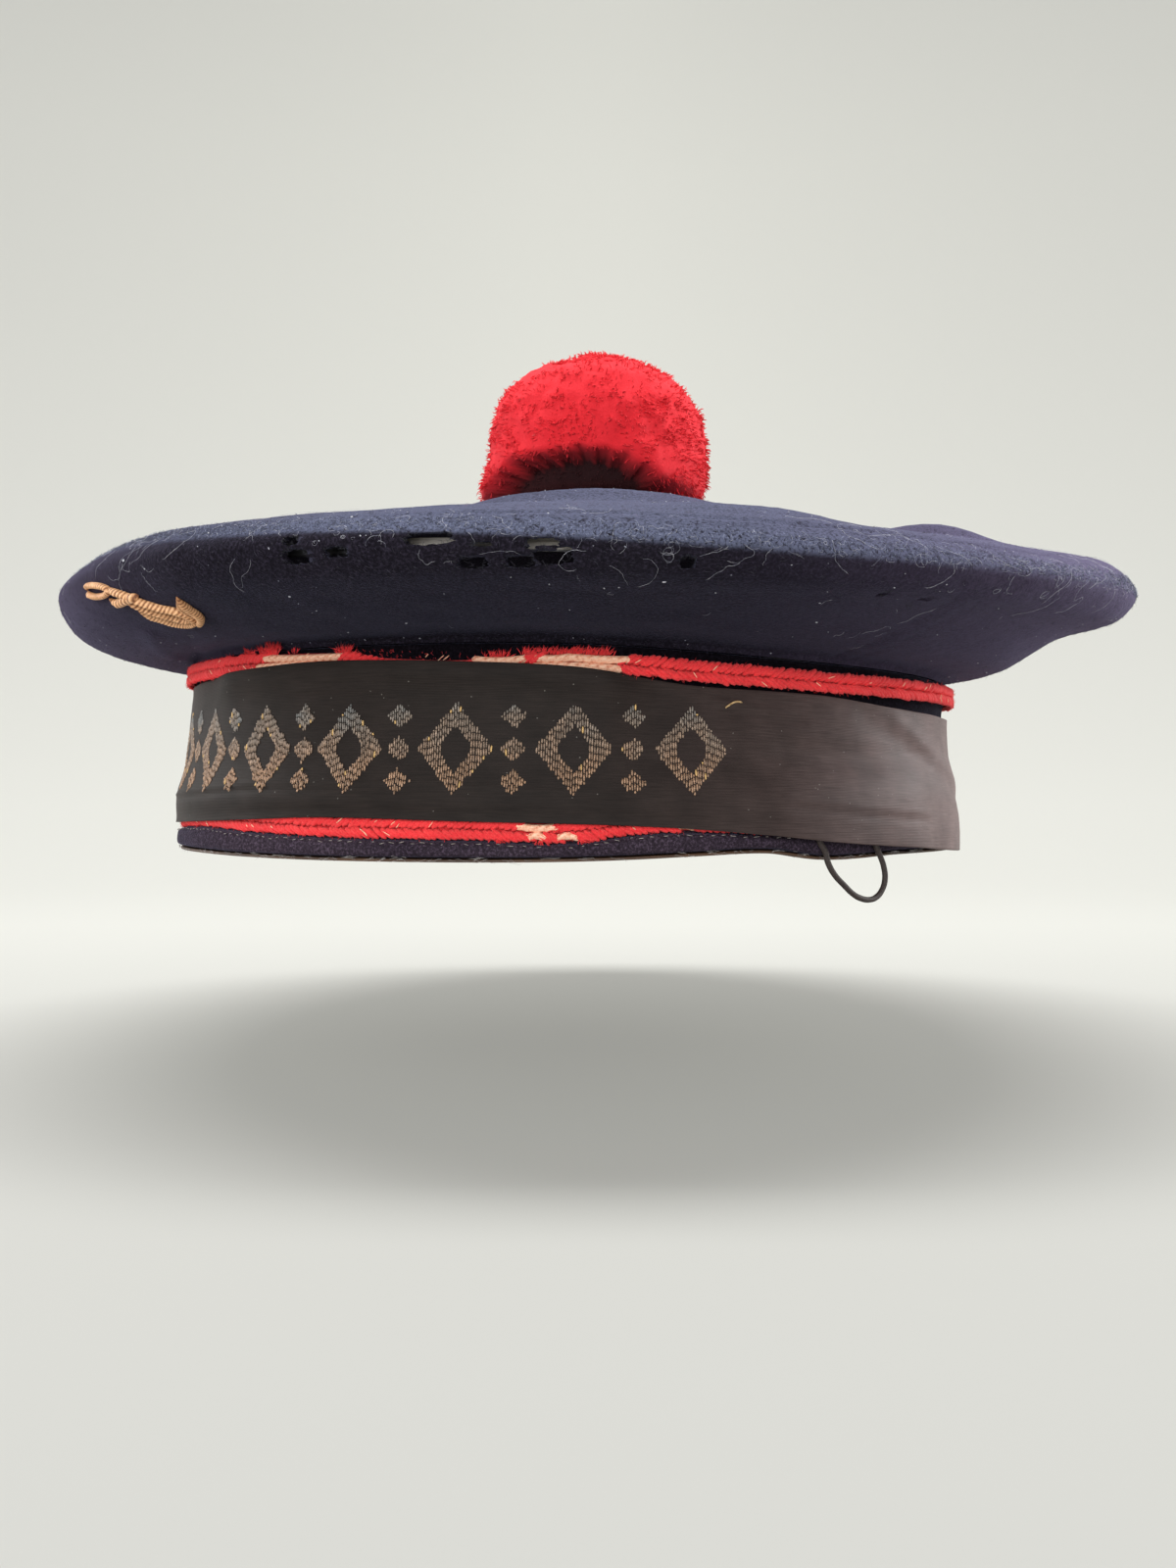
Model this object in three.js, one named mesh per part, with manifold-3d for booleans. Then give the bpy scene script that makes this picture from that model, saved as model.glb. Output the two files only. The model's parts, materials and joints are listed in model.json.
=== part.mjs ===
// A sailor cap: a soft one-piece wool crown on an upright cloth band, two red braids, a black ribbon,
// a red pompom, a rope anchor and a thin chin elastic that is stowed round the band with one loop hanging out.
//
// Millimetres, +z up. The origin is the centre of the head opening in the plane of the rim, -y is the front
// of the cap and +x the wearer's left. Directions round the head are in degrees, from the wearer's left (0)
// to the back (90).

import * as THREE from 'three';
import { mergeVertices } from 'three/addons/utils/BufferGeometryUtils.js';
import Module from 'manifold-3d';

const wasm = await Module();
wasm.setup();

// ---------- driving dimensions ----------

const directions = 50; // how many sections a ring piece has round the head
const gap = 0.3; // between two pieces that touch

const clothThickness = 2;
const leatherThickness = 1.2;
const ribbonThickness = 1;

// The outside of the band's wall is an oval that leans in a little from the rim to its full height.
const bandHeight = 45;
const bandFoot = { halfWidth: 82.2, halfLength: 97.1, back: -0.5 };
const bandHead = { halfWidth: 80.2, halfLength: 95.0, back: 0.8 };
const hemOut = 2.6; // how far the folded hem stands out from the wall
const hemRound = 0.4; // how far its corners draw back
const headOut = 1.2; // how far the thick seam under the crown stands out
const headTaper = 1.4; // the height over which the wall thickens to it

const crownRadius = 132.6; // out to the rim, from the crown's own centre
const crownBack = 7.5; // the crown's centre lies this far behind the head's
const crownTop = 90;

// Heights round the band. rim: the leather's edge; lowBraid and highBraid: the middle of each braid;
// ribbonFoot and ribbonHead: the ribbon's edges; seam: where the crown starts.
const bandLevels = [
  { at: -135, rim: 0.0, lowBraid: 7.2, ribbonFoot: 6.0, ribbonHead: 39.0, highBraid: 42.0, seam: 44.9 },
  { at: -90, rim: 0.1, lowBraid: 7.3, ribbonFoot: 6.3, ribbonHead: 40.1, highBraid: 42.8, seam: 45.5 },
  { at: -60, rim: 0.2, lowBraid: 8.7, ribbonFoot: 7.5, ribbonHead: 40.4, highBraid: 42.8, seam: 45.5 },
  { at: -45, rim: 0.0, lowBraid: 7.9, ribbonFoot: 8.3, ribbonHead: 41.5, highBraid: 42.8, seam: 45.6 },
  { at: -30, rim: -0.1, lowBraid: 7.1, ribbonFoot: 9.1, ribbonHead: 42.1, highBraid: 42.1, seam: 45.5 },
  { at: -10, rim: 0.0, lowBraid: 6.8, ribbonFoot: 8.4, ribbonHead: 41.0, highBraid: 40.5, seam: 45.3 },
  { at: 1, rim: 0.2, lowBraid: 6.3, ribbonFoot: 8.0, ribbonHead: 39.9, highBraid: 40.9, seam: 45.0 },
  { at: 9, rim: 0.6, lowBraid: 8.0, ribbonFoot: 7.5, ribbonHead: 38.0, highBraid: 40.3, seam: 44.4 },
  { at: 16, rim: 1.1, lowBraid: 8.4, ribbonFoot: 6.8, ribbonHead: 36.4, highBraid: 39.3, seam: 43.8 },
  { at: 26, rim: 1.5, lowBraid: 7.9, ribbonFoot: 5.3, ribbonHead: 35.7, highBraid: 38.5, seam: 42.9 },
  { at: 35, rim: -0.2, lowBraid: 7.5, ribbonFoot: 3.7, ribbonHead: 35.1, highBraid: 37.9, seam: 42.3 },
  { at: 50, rim: 0.3, lowBraid: 7.2, ribbonFoot: 2.0, ribbonHead: 33.2, highBraid: 37.6, seam: 41.6 },
  { at: 76, rim: 0.0, lowBraid: 7.0, ribbonFoot: -0.2, ribbonHead: 32.2, highBraid: 37.6, seam: 40.8 },
  { at: 105, rim: 0.0, lowBraid: 7.0, ribbonFoot: 0.8, ribbonHead: 33.6, highBraid: 37.8, seam: 40.8 },
  { at: 145, rim: 0.0, lowBraid: 7.0, ribbonFoot: 3.2, ribbonHead: 35.4, highBraid: 38.8, seam: 41.9 },
  { at: 185, rim: 0.0, lowBraid: 7.1, ribbonFoot: 5.0, ribbonHead: 37.3, highBraid: 40.6, seam: 43.6 },
];

// Heights of the crown's underside, one row for each direction and one column for each place on its section.
const undersideLevels = [
  { at: -135, belly: 46.6, slope: 49.8, low: 54.0, rim: 59.8 },
  { at: -90, belly: 46.0, slope: 49.2, low: 53.6, rim: 60.0 },
  { at: -75, belly: 46.2, slope: 49.2, low: 53.6, rim: 60.0 },
  { at: -60, belly: 46.8, slope: 49.6, low: 53.8, rim: 59.8 },
  { at: -45, belly: 47.4, slope: 50.2, low: 54.0, rim: 59.6 },
  { at: -25, belly: 48.0, slope: 50.6, low: 53.8, rim: 58.6 },
  { at: 0, belly: 48.0, slope: 50.4, low: 53.0, rim: 57.2 },
  { at: 25, belly: 46.6, slope: 49.3, low: 51.8, rim: 56.0 },
  { at: 45, belly: 44.8, slope: 49.4, low: 52.0, rim: 56.4 },
  { at: 60, belly: 44.2, slope: 50.4, low: 52.8, rim: 57.8 },
  { at: 76, belly: 44.4, slope: 52.8, low: 55.2, rim: 60.0 },
  { at: 92, belly: 44.9, slope: 54.0, low: 56.6, rim: 60.8 },
  { at: 135, belly: 46.4, slope: 52.6, low: 55.4, rim: 60.0 },
  { at: 180, belly: 47.2, slope: 50.8, low: 54.2, rim: 59.2 },
];

// And of its top.
const topLevels = [
  { at: -135, high: 66.4, shoulder: 72.6, top: 78.0, mound: 82.4, peak: 87.7 },
  { at: -90, high: 68.2, shoulder: 76.2, top: 80.4, mound: 83.0, peak: 87.8 },
  { at: -75, high: 67.8, shoulder: 75.2, top: 79.6, mound: 82.8, peak: 87.8 },
  { at: -60, high: 66.0, shoulder: 71.6, top: 77.6, mound: 82.4, peak: 87.7 },
  { at: -45, high: 64.6, shoulder: 69.2, top: 75.2, mound: 81.8, peak: 87.6 },
  { at: -25, high: 62.9, shoulder: 67.4, top: 73.8, mound: 81.5, peak: 87.5 },
  { at: 0, high: 61.6, shoulder: 66.4, top: 73.4, mound: 81.3, peak: 87.5 },
  { at: 25, high: 60.4, shoulder: 65.6, top: 73.0, mound: 81.2, peak: 87.4 },
  { at: 45, high: 60.8, shoulder: 65.8, top: 73.5, mound: 81.5, peak: 87.3 },
  { at: 60, high: 64.0, shoulder: 68.4, top: 75.8, mound: 82.2, peak: 87.4 },
  { at: 76, high: 68.1, shoulder: 72.2, top: 78.2, mound: 82.8, peak: 87.6 },
  { at: 92, high: 67.7, shoulder: 71.9, top: 77.9, mound: 82.9, peak: 87.7 },
  { at: 135, high: 65.6, shoulder: 70.8, top: 77.2, mound: 82.2, peak: 87.6 },
  { at: 180, high: 64.6, shoulder: 70.6, top: 77.2, mound: 82.0, peak: 87.6 },
];

// Where those columns lie: under the crown as a share of the way from the seam to the rim, and on top as a
// share of the crown's radius.
const underPlaces = { belly: 0.32, slope: 0.68, low: 0.92, rim: 1 };
const topPlaces = { high: 0.965, shoulder: 0.86, top: 0.64, mound: 0.36, peak: 0.24 };

// The stations of a section, from the band to the middle of the top, are numbered from 0 in this order.
const crownStations = ['seam', 'neck', ...Object.keys(underPlaces), ...Object.keys(topPlaces), 'centre'];
const lastStation = crownStations.length - 1;

// Soft folds of the crown: a ridge (or, below zero, a dent) from one direction and station to another.
const crownFolds = [
  { fromAt: 62, fromStation: 7.1, toAt: 66, toStation: 8.0, width: 5, rise: 2.4 },
  { fromAt: 34, fromStation: 1.6, toAt: 45, toStation: 4.6, width: 1.8, rise: -0.7 },
  { fromAt: 39, fromStation: 1.4, toAt: 50, toStation: 4.2, width: 1.8, rise: -0.6 },
];

// Moth holes near the rim: place round the rim, height, and the size of each ragged opening.
const mothHoles = [
  { at: -24.6, height: 57.4, wide: 4.0, tall: 2.6 },
  { at: -20.0, height: 56.6, wide: 3.4, tall: 1.5 },
  { at: -12.4, height: 58.0, wide: 7.6, tall: 2.0 },
  { at: -8.6, height: 55.0, wide: 4.8, tall: 1.4 },
  { at: -3.6, height: 55.8, wide: 9.0, tall: 3.4 },
  { at: 6.6, height: 54.2, wide: 2.2, tall: 1.6 },
];

const braidWidth = 4.4;
const braidThickness = 1.3;
const braidGroove = 0.45; // how deep the groove between its two ribs is
const braidBack = gap + 0.1; // its back from the wall

const sweatbandHeight = 36;
const rimEdge = 1; // how much of the leather shows under the cloth
const leatherLip = 0.7; // the height of the edge that turns out under the hem
const lipInset = 0.8; // how far that edge stays back from the hem's face

// The tally ribbon hugs the wall, bulges over the stowed elastic beside the loop, and fans out to lap the
// upper braid.
const ribbonWall = 0.6; // its back from the wall
const elasticBulge = 1.8;
const bulgeSpan = { startsAt: 18, fullAt: 28, endsFrom: 49, endsAt: 60 };

const hoopHeight = 2.4;
const hoopThickness = 0.8;
const hoopRise = -0.3; // the middle of the hoop above the widest line of the rim
const hoopRoom = 3; // between the hoop and the cloth, where the fold is widest

// The pompom's outline, up from the top of the crown.
const pompomOutline = [
  { out: 28.6, up: 1.7 },
  { out: 28.8, up: 6.7 },
  { out: 28.3, up: 12.7 },
  { out: 27.8, up: 18.7 },
  { out: 26.3, up: 24.2 },
  { out: 23.2, up: 28.7 },
  { out: 18.0, up: 32.7 },
  { out: 10.5, up: 35.7 },
];
const pompomFoot = 26;
const pompomHeight = 37.2;

// The rope anchor on the crown's front slope. Its cords are drawn on the cloth: aside is a place's distance
// towards the back from the badge's own direction, fromSeam its distance up the slope from the band. The
// shank bends towards the front with the crown and ends in a ring that is squashed flat.
const badgeAt = -47;
const badgeReach = 126; // the slope's radius there
const badgeCords = [
  {
    width: 3.4,
    height: 2.1,
    path: [
      { aside: 13.8, fromSeam: 29.0 },
      { aside: 11.8, fromSeam: 33.4 },
      { aside: 8.6, fromSeam: 37.8 },
      { aside: 4.0, fromSeam: 40.8 },
      { aside: -0.8, fromSeam: 42.0 },
    ],
  },
  {
    width: 3.0,
    height: 1.8,
    path: [
      { aside: -1.6, fromSeam: 39.4 },
      { aside: 3.2, fromSeam: 41.0 },
      { aside: 8.0, fromSeam: 41.6 },
    ],
  },
  {
    width: 3.2,
    height: 1.8,
    path: [
      { aside: 14.4, fromSeam: 28.7 },
      { aside: 8.6, fromSeam: 30.6 },
      { aside: 5.6, fromSeam: 35.6 },
    ],
  },
  {
    width: 2.4,
    height: 1.6,
    path: [
      { aside: 4.0, fromSeam: 34.0 },
      { aside: 9.4, fromSeam: 36.2 },
    ],
  },
  {
    width: 3.2,
    height: 1.8,
    path: [
      { aside: 13.2, fromSeam: 28.7 },
      { aside: 17.6, fromSeam: 31.0 },
      { aside: 19.6, fromSeam: 34.6 },
      { aside: 17.8, fromSeam: 39.0 },
    ],
  },
  {
    width: 2.4,
    height: 1.6,
    path: [
      { aside: 20.0, fromSeam: 34.2 },
      { aside: 14.4, fromSeam: 37.0 },
    ],
  },
];
const badgeGap = 0.5; // between its flat facets and the crown's
const badgeStep = 2.6; // the length of one facet
const badgeRing = { aside: -4.6, fromSeam: 42.2, halfLength: 4.4, halfWidth: 1.7, thickness: 1.5 };

const elasticDiameter = 1.3;
const elasticHeight = 12.4; // where it runs round the band
const elasticOut = gap + 0.2 + elasticDiameter / 2;
const elasticFrom = 49; // the stowed stretch starts and ends beside the loop that hangs out
const elasticTo = 27;

// The loop that hangs out below the ribbon: direction, height and distance from the band's outside.
const hangingLoop = [
  { at: 27.3, height: 12.4, out: 1.15 },
  { at: 29.4, height: 12.3, out: 1.6 },
  { at: 31.2, height: 11.3, out: 2.5 },
  { at: 32.3, height: 8.8, out: 3.2 },
  { at: 32.8, height: 6.2, out: 3.6 },
  { at: 33.0, height: 3.8, out: 3.6 },
  { at: 33.8, height: 1.9, out: 3.6 },
  { at: 34.3, height: -0.6, out: 3.6 },
  { at: 35.3, height: -3.1, out: 3.6 },
  { at: 37.0, height: -5.6, out: 3.6 },
  { at: 38.9, height: -7.6, out: 3.6 },
  { at: 41.4, height: -9.0, out: 3.6 },
  { at: 43.7, height: -7.5, out: 3.6 },
  { at: 44.8, height: -4.9, out: 3.6 },
  { at: 44.6, height: -2.1, out: 3.6 },
  { at: 43.8, height: 0.5, out: 3.6 },
  { at: 42.8, height: 3.2, out: 3.6 },
  { at: 42.4, height: 6.2, out: 3.6 },
  { at: 42.7, height: 8.8, out: 3.2 },
  { at: 44.1, height: 11.3, out: 2.5 },
  { at: 46.4, height: 12.3, out: 1.6 },
  { at: 48.7, height: 12.4, out: 1.15 },
];

// ---------- helpers for everything that goes round the head ----------

const radians = THREE.MathUtils.degToRad;

// One column of a table at a direction, on a smooth curve that closes round the head.
function around(rows, column, angle) {
  const first = rows[0].at;
  const turned = THREE.MathUtils.euclideanModulo(angle - first, 360) + first;
  const row = (index) => {
    const lap = Math.floor(index / rows.length);
    const entry = rows[index - lap * rows.length];
    return { at: entry.at + 360 * lap, value: entry[column] };
  };
  let index = 0;
  while (row(index + 1).at <= turned) {
    index += 1;
  }
  const [before, from, to, after] = [row(index - 1), row(index), row(index + 1), row(index + 2)];
  const span = to.at - from.at;
  const startSlope = ((to.value - before.value) / (to.at - before.at)) * span;
  const endSlope = ((after.value - from.value) / (after.at - from.at)) * span;
  const t = (turned - from.at) / span;
  const t2 = t * t;
  const t3 = t2 * t;
  return (
    (2 * t3 - 3 * t2 + 1) * from.value +
    (t3 - 2 * t2 + t) * startSlope +
    (3 * t2 - 2 * t3) * to.value +
    (t3 - t2) * endSlope
  );
}

// A point on the band's outside, moved outwards by a distance.
function onBand(angle, height, out) {
  const share = height / bandHeight;
  const halfWidth = THREE.MathUtils.lerp(bandFoot.halfWidth, bandHead.halfWidth, share) + out;
  const halfLength = THREE.MathUtils.lerp(bandFoot.halfLength, bandHead.halfLength, share) + out;
  const back = THREE.MathUtils.lerp(bandFoot.back, bandHead.back, share);
  const turn = radians(angle);
  return new THREE.Vector3(halfWidth * Math.cos(turn), back + halfLength * Math.sin(turn), height);
}

// Joins the sections at all directions into one closed body. A section lists its points up the outside and
// then down the inside, and where it touches the crown's axis the sections share that point.
function ringOf(section, steps = directions) {
  const sections = [];
  for (let step = 0; step < steps; step += 1) {
    sections.push(section((360 * step) / steps));
  }
  const count = sections[0].length;
  const corners = sections.flat();
  const index = (ring, place) => (ring % steps) * count + (place % count);
  const triangles = [];
  const addTriangle = (...three) => {
    const [a, b, c] = three.map((corner) => corners[corner]);
    const sliver = Math.min(a.distanceTo(b), b.distanceTo(c), c.distanceTo(a));
    if (sliver > 1e-6) triangles.push(...three);
  };
  for (let ring = 0; ring < steps; ring += 1) {
    for (let place = 0; place < count; place += 1) {
      const far = index(ring + 1, place + 1);
      addTriangle(index(ring, place), index(ring + 1, place), far);
      addTriangle(index(ring, place), far, index(ring, place + 1));
    }
  }
  const positions = corners.flatMap((corner) => corner.toArray());
  const geometry = new THREE.BufferGeometry();
  geometry.setAttribute('position', new THREE.Float32BufferAttribute(positions, 3));
  geometry.setIndex(triangles);
  return mergeVertices(geometry);
}

// ---------- solids for joining and cutting ----------

function toSolid(geometry) {
  const bare = geometry.clone();
  bare.deleteAttribute('normal');
  bare.deleteAttribute('uv');
  const merged = mergeVertices(bare);
  const vertProperties = Float32Array.from(merged.attributes.position.array);
  const triVerts = Uint32Array.from(merged.index.array);
  return new wasm.Manifold(new wasm.Mesh({ numProp: 3, vertProperties, triVerts }));
}

function toGeometry(solid) {
  const mesh = solid.getMesh();
  const geometry = new THREE.BufferGeometry();
  geometry.setAttribute('position', new THREE.BufferAttribute(mesh.vertProperties, 3));
  geometry.setIndex(new THREE.BufferAttribute(mesh.triVerts, 1));
  return geometry;
}

// ---------- crown ----------

const crownCentre = new THREE.Vector3(0, crownBack, crownTop);

// The outside of the crown at one direction, from the seam to the middle of the top.
function crownCurve(angle) {
  const seamHeight = around(bandLevels, 'seam', angle);
  const seam = onBand(angle, seamHeight, headOut);
  const neck = onBand(angle, seamHeight + 1.2, headOut + 0.4);
  const turn = radians(angle);
  const rim = new THREE.Vector3(crownRadius * Math.cos(turn), crownBack + crownRadius * Math.sin(turn), 0);
  const points = [seam, neck];
  for (const [column, share] of Object.entries(underPlaces)) {
    points.push(seam.clone().lerp(rim, share).setZ(around(undersideLevels, column, angle)));
  }
  for (const [column, share] of Object.entries(topPlaces)) {
    points.push(crownCentre.clone().lerp(rim, share).setZ(around(topLevels, column, angle)));
  }
  points.push(crownCentre);
  return new THREE.CatmullRomCurve3(points, false, 'centripetal');
}

function foldRise(angle, station) {
  const degree = radians(crownRadius); // millimetres to a degree at the rim
  const stationLength = 12; // millimetres from one station to the next, roughly
  const flatten = (at, place) => new THREE.Vector2(at * degree, place * stationLength);
  let rise = 0;
  for (const fold of crownFolds) {
    const start = flatten(fold.fromAt, fold.fromStation);
    const axis = flatten(fold.toAt, fold.toStation).sub(start);
    const place = flatten(angle, station).sub(start);
    const share = THREE.MathUtils.clamp(place.dot(axis) / axis.lengthSq(), 0, 1);
    const away = place.distanceTo(axis.multiplyScalar(share));
    rise += fold.rise * Math.exp(-((away / fold.width) ** 2));
  }
  return rise;
}

function crownNormal(angle, along) {
  const turn = 0.5;
  const step = 0.004;
  const start = Math.max(along - step, 0);
  const end = Math.min(along + step, 1 - step);
  const upward = crownCurve(angle).getPoint(end).sub(crownCurve(angle).getPoint(start));
  const sideways = crownCurve(angle + turn).getPoint(along).sub(crownCurve(angle - turn).getPoint(along));
  return sideways.cross(upward).normalize();
}

// A point on the crown, below its outside by a depth.
function onCrown(angle, station, depth) {
  const along = station / lastStation;
  const place = crownCurve(angle).getPoint(along);
  if (station >= lastStation) return place.setZ(place.z - depth);
  const rise = foldRise(angle > 180 ? angle - 360 : angle, station);
  return place.addScaledVector(crownNormal(angle, along), rise - depth);
}

// The places of a section's points are closest where the rim turns.
const outsidePlaces = [0, 0.7, 1.3, 2, 3, 3.7, 4.2, 4.6, 5, 5.4, 5.8, 6.3, 7, 7.7, 8.5, 9.4, 10.2, lastStation];
const insidePlaces = [lastStation, 10, 8.4, 7, 6.3, 5.8, 5.4, 5, 4.6, 4.2, 3.6, 2.6, 1.3, 0];

function crownSection(angle) {
  const outside = outsidePlaces.map((station) => onCrown(angle, station, 0));
  const inside = insidePlaces.map((station) => onCrown(angle, station, clothThickness));
  return [...outside, ...inside];
}

// A flat ragged outline, pushed inwards through the cloth.
function mothHoleCutter({ at, height, wide, tall }) {
  const corners = 9;
  const reach = 12;
  const outline = new THREE.Shape();
  for (let corner = 0; corner < corners; corner += 1) {
    const turn = (2 * Math.PI * corner) / corners;
    const ragged = 1 + 0.16 * Math.sin(2.6 * corner + at);
    outline.lineTo(0.5 * wide * ragged * Math.cos(turn), 0.5 * tall * ragged * Math.sin(turn));
  }
  const cutter = new THREE.ExtrudeGeometry(outline, { depth: reach, bevelEnabled: false });
  cutter.translate(0, 0, -reach / 2);
  cutter.rotateX(Math.PI / 2);
  cutter.rotateZ(Math.PI / 2 + radians(at));
  const turn = radians(at);
  return cutter.translate(crownRadius * Math.cos(turn), crownBack + crownRadius * Math.sin(turn), height);
}

function makeCrown() {
  let solid = toSolid(ringOf(crownSection));
  for (const hole of mothHoles) {
    solid = solid.subtract(toSolid(mothHoleCutter(hole)));
  }
  return toGeometry(solid);
}

// ---------- hoop ----------

function hoopSection(angle) {
  const turn = radians(angle);
  const middle = around(undersideLevels, 'rim', angle) + hoopRise;
  const outside = crownRadius - clothThickness - hoopRoom;
  const corner = (out, up) =>
    new THREE.Vector3(out * Math.cos(turn), crownBack + out * Math.sin(turn), middle + up);
  return [
    corner(outside, -hoopHeight / 2),
    corner(outside, hoopHeight / 2),
    corner(outside - hoopThickness, hoopHeight / 2),
    corner(outside - hoopThickness, -hoopHeight / 2),
  ];
}

// ---------- band and sweatband ----------

// A thick folded hem below the lower braid, a plain wall, and a thick seam behind the upper braid.
function bandSection(angle) {
  const foot = around(bandLevels, 'rim', angle) + rimEdge;
  const hem = around(bandLevels, 'lowBraid', angle) - braidWidth / 2 - braidBack;
  const seam = around(bandLevels, 'highBraid', angle) - braidWidth / 2;
  const head = around(bandLevels, 'seam', angle) - gap;
  return [
    onBand(angle, foot, hemOut - hemRound),
    onBand(angle, (foot + hem) / 2, hemOut),
    onBand(angle, hem, hemOut - hemRound),
    onBand(angle, hem + hemRound / 2, 0),
    onBand(angle, seam, 0),
    onBand(angle, seam + headTaper, headOut),
    onBand(angle, head, headOut),
    onBand(angle, head, headOut - clothThickness),
    onBand(angle, seam - headTaper, -clothThickness),
    onBand(angle, foot, -clothThickness),
  ];
}

function sweatbandSection(angle) {
  const rim = around(bandLevels, 'rim', angle);
  const outside = -clothThickness - gap;
  const inside = outside - leatherThickness;
  return [
    onBand(angle, rim, hemOut - lipInset),
    onBand(angle, rim + leatherLip, hemOut - lipInset),
    onBand(angle, rim + leatherLip, outside),
    onBand(angle, sweatbandHeight, outside),
    onBand(angle, sweatbandHeight, inside),
    onBand(angle, rim, inside),
  ];
}

// ---------- braids ----------

// A flat back and two round ribs with a groove between them.
function braidSection(level, wallOut) {
  const half = braidWidth / 2;
  const rib = 0.55 * half;
  const back = wallOut + braidBack;
  const face = wallOut + gap + braidThickness;
  return (angle) => {
    const middle = around(bandLevels, level, angle);
    return [
      onBand(angle, middle - half, back),
      onBand(angle, middle - rib, face),
      onBand(angle, middle, face - braidGroove),
      onBand(angle, middle + rib, face),
      onBand(angle, middle + half, back),
    ];
  };
}

// ---------- ribbon ----------

const { lerp, smoothstep } = THREE.MathUtils;

// Its rows run up from its lower edge, over the lower braid and hem, in against the wall, and out again at
// the top wherever its upper edge reaches the upper braid.
function ribbonSection(angle) {
  const level = (name) => around(bandLevels, name, angle);
  const turned = angle > 180 ? angle - 360 : angle;
  const foot = level('ribbonFoot');
  const head = level('ribbonHead');
  const overBraid = 2 * gap + braidThickness;
  const bulging = smoothstep(turned, bulgeSpan.startsAt, bulgeSpan.fullAt);
  const flattening = smoothstep(turned, bulgeSpan.endsFrom, bulgeSpan.endsAt);
  const overElastic = elasticBulge * bulging * (1 - flattening);
  const overHem = (hemOut + gap - overBraid) * smoothstep(level('lowBraid') - foot, 1.6, 3);
  const footOut = overBraid + overElastic + overHem;
  const lap = smoothstep(head - (level('highBraid') - braidWidth / 2), -1, -0.3);
  const headOutwards = lerp(ribbonWall, overBraid + headOut, lap);
  const rows = [
    { height: foot, out: footOut },
    { height: Math.max(foot + 1.5, 5.6), out: footOut },
    { height: elasticHeight + 1.2, out: overBraid + 0.5 + overElastic },
    { height: 20.5, out: ribbonWall + 0.2 },
    { height: head - 5.2, out: ribbonWall },
    { height: head - 2.6, out: headOutwards },
    { height: head, out: headOutwards },
  ];
  const outside = rows.map(({ height, out }) => onBand(angle, height, out + ribbonThickness));
  const inside = rows.map(({ height, out }) => onBand(angle, height, out)).reverse();
  return [...outside, ...inside];
}

// ---------- pompom ----------

// It rests on the crown, and its lumpy outline follows the outline table.
function pompomSection(angle) {
  const turn = radians(angle);
  const onTop = (out) => onCrown(angle, lastStation - out / (topPlaces.peak * crownRadius), -gap);
  const base = [0, 0.5 * pompomFoot, pompomFoot].map(onTop);
  const lump = 1 + 0.02 * Math.sin(3 * turn + 0.6) + 0.015 * Math.sin(5 * turn);
  const flank = pompomOutline.map(
    ({ out, up }) =>
      new THREE.Vector3(
        out * lump * Math.cos(turn),
        crownBack + out * lump * Math.sin(turn),
        crownTop + gap + up,
      ),
  );
  const top = new THREE.Vector3(0, crownBack, crownTop + gap + pompomHeight);
  return [...base, ...flank, top];
}

// ---------- anchor badge ----------

// Takes a place of the flat badge to the crown.
function badgeToCrown(aside, fromSeam, up) {
  const angle = badgeAt + aside / radians(badgeReach);
  const place = crownCurve(angle).getUtoTmapping(0, fromSeam);
  return onCrown(angle, place * lastStation, -badgeGap - up);
}

function bendToCrown(geometry) {
  const bare = geometry.clone();
  bare.deleteAttribute('normal');
  bare.deleteAttribute('uv');
  const bent = mergeVertices(bare);
  const places = bent.attributes.position;
  for (let index = 0; index < places.count; index += 1) {
    const place = badgeToCrown(places.getX(index), places.getY(index), places.getZ(index));
    places.setXYZ(index, place.x, place.y, place.z);
  }
  return bent;
}

// A cord of the badge: a low half-round section along its path.
function makeBadgeCord({ width, height, path }) {
  const section = new THREE.Shape();
  section.moveTo(0, -width / 2);
  section.lineTo(0, width / 2);
  section.lineTo(-height * 0.7, width * 0.38);
  section.lineTo(-height, 0);
  section.lineTo(-height * 0.7, -width * 0.38);
  const places = path.map(({ aside, fromSeam }) => new THREE.Vector3(aside, fromSeam, 0));
  const extrudePath = new THREE.CatmullRomCurve3(places);
  const steps = Math.ceil(extrudePath.getLength() / badgeStep);
  return new THREE.ExtrudeGeometry(section, { steps, bevelEnabled: false, extrudePath });
}

function makeBadge() {
  const { aside, fromSeam, halfLength, halfWidth, thickness } = badgeRing;
  const middle = halfLength - thickness / 2;
  const ring = new THREE.TorusGeometry(middle, thickness / 2, 5, 12);
  ring.scale(1, (halfWidth - thickness / 2) / middle, 1);
  ring.translate(aside, fromSeam, thickness * 0.7);
  let solid = toSolid(bendToCrown(ring));
  for (const cord of badgeCords) {
    solid = solid.add(toSolid(bendToCrown(makeBadgeCord(cord))));
  }
  return toGeometry(solid);
}

// ---------- chin elastic ----------

function elasticAlong(places, steps) {
  const section = new THREE.Shape();
  section.absarc(0, 0, elasticDiameter / 2, 0, 2 * Math.PI);
  const path = new THREE.CatmullRomCurve3(places);
  return new THREE.ExtrudeGeometry(section, {
    steps,
    curveSegments: 3,
    bevelEnabled: false,
    extrudePath: path,
  });
}

function makeHangingLoop() {
  return elasticAlong(
    hangingLoop.map(({ at, height, out }) => onBand(at, height, out)),
    28,
  );
}

// The long way round, from behind the loop past the back and the front to the loop's other side.
function makeStowedElastic() {
  const stretch = 360 - (elasticFrom - elasticTo);
  const stops = 44;
  const places = [];
  for (let stop = 0; stop <= stops; stop += 1) {
    places.push(onBand(elasticFrom + (stretch * stop) / stops, elasticHeight, elasticOut));
  }
  return elasticAlong(places, stops);
}

// ---------- the cap ----------

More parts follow.
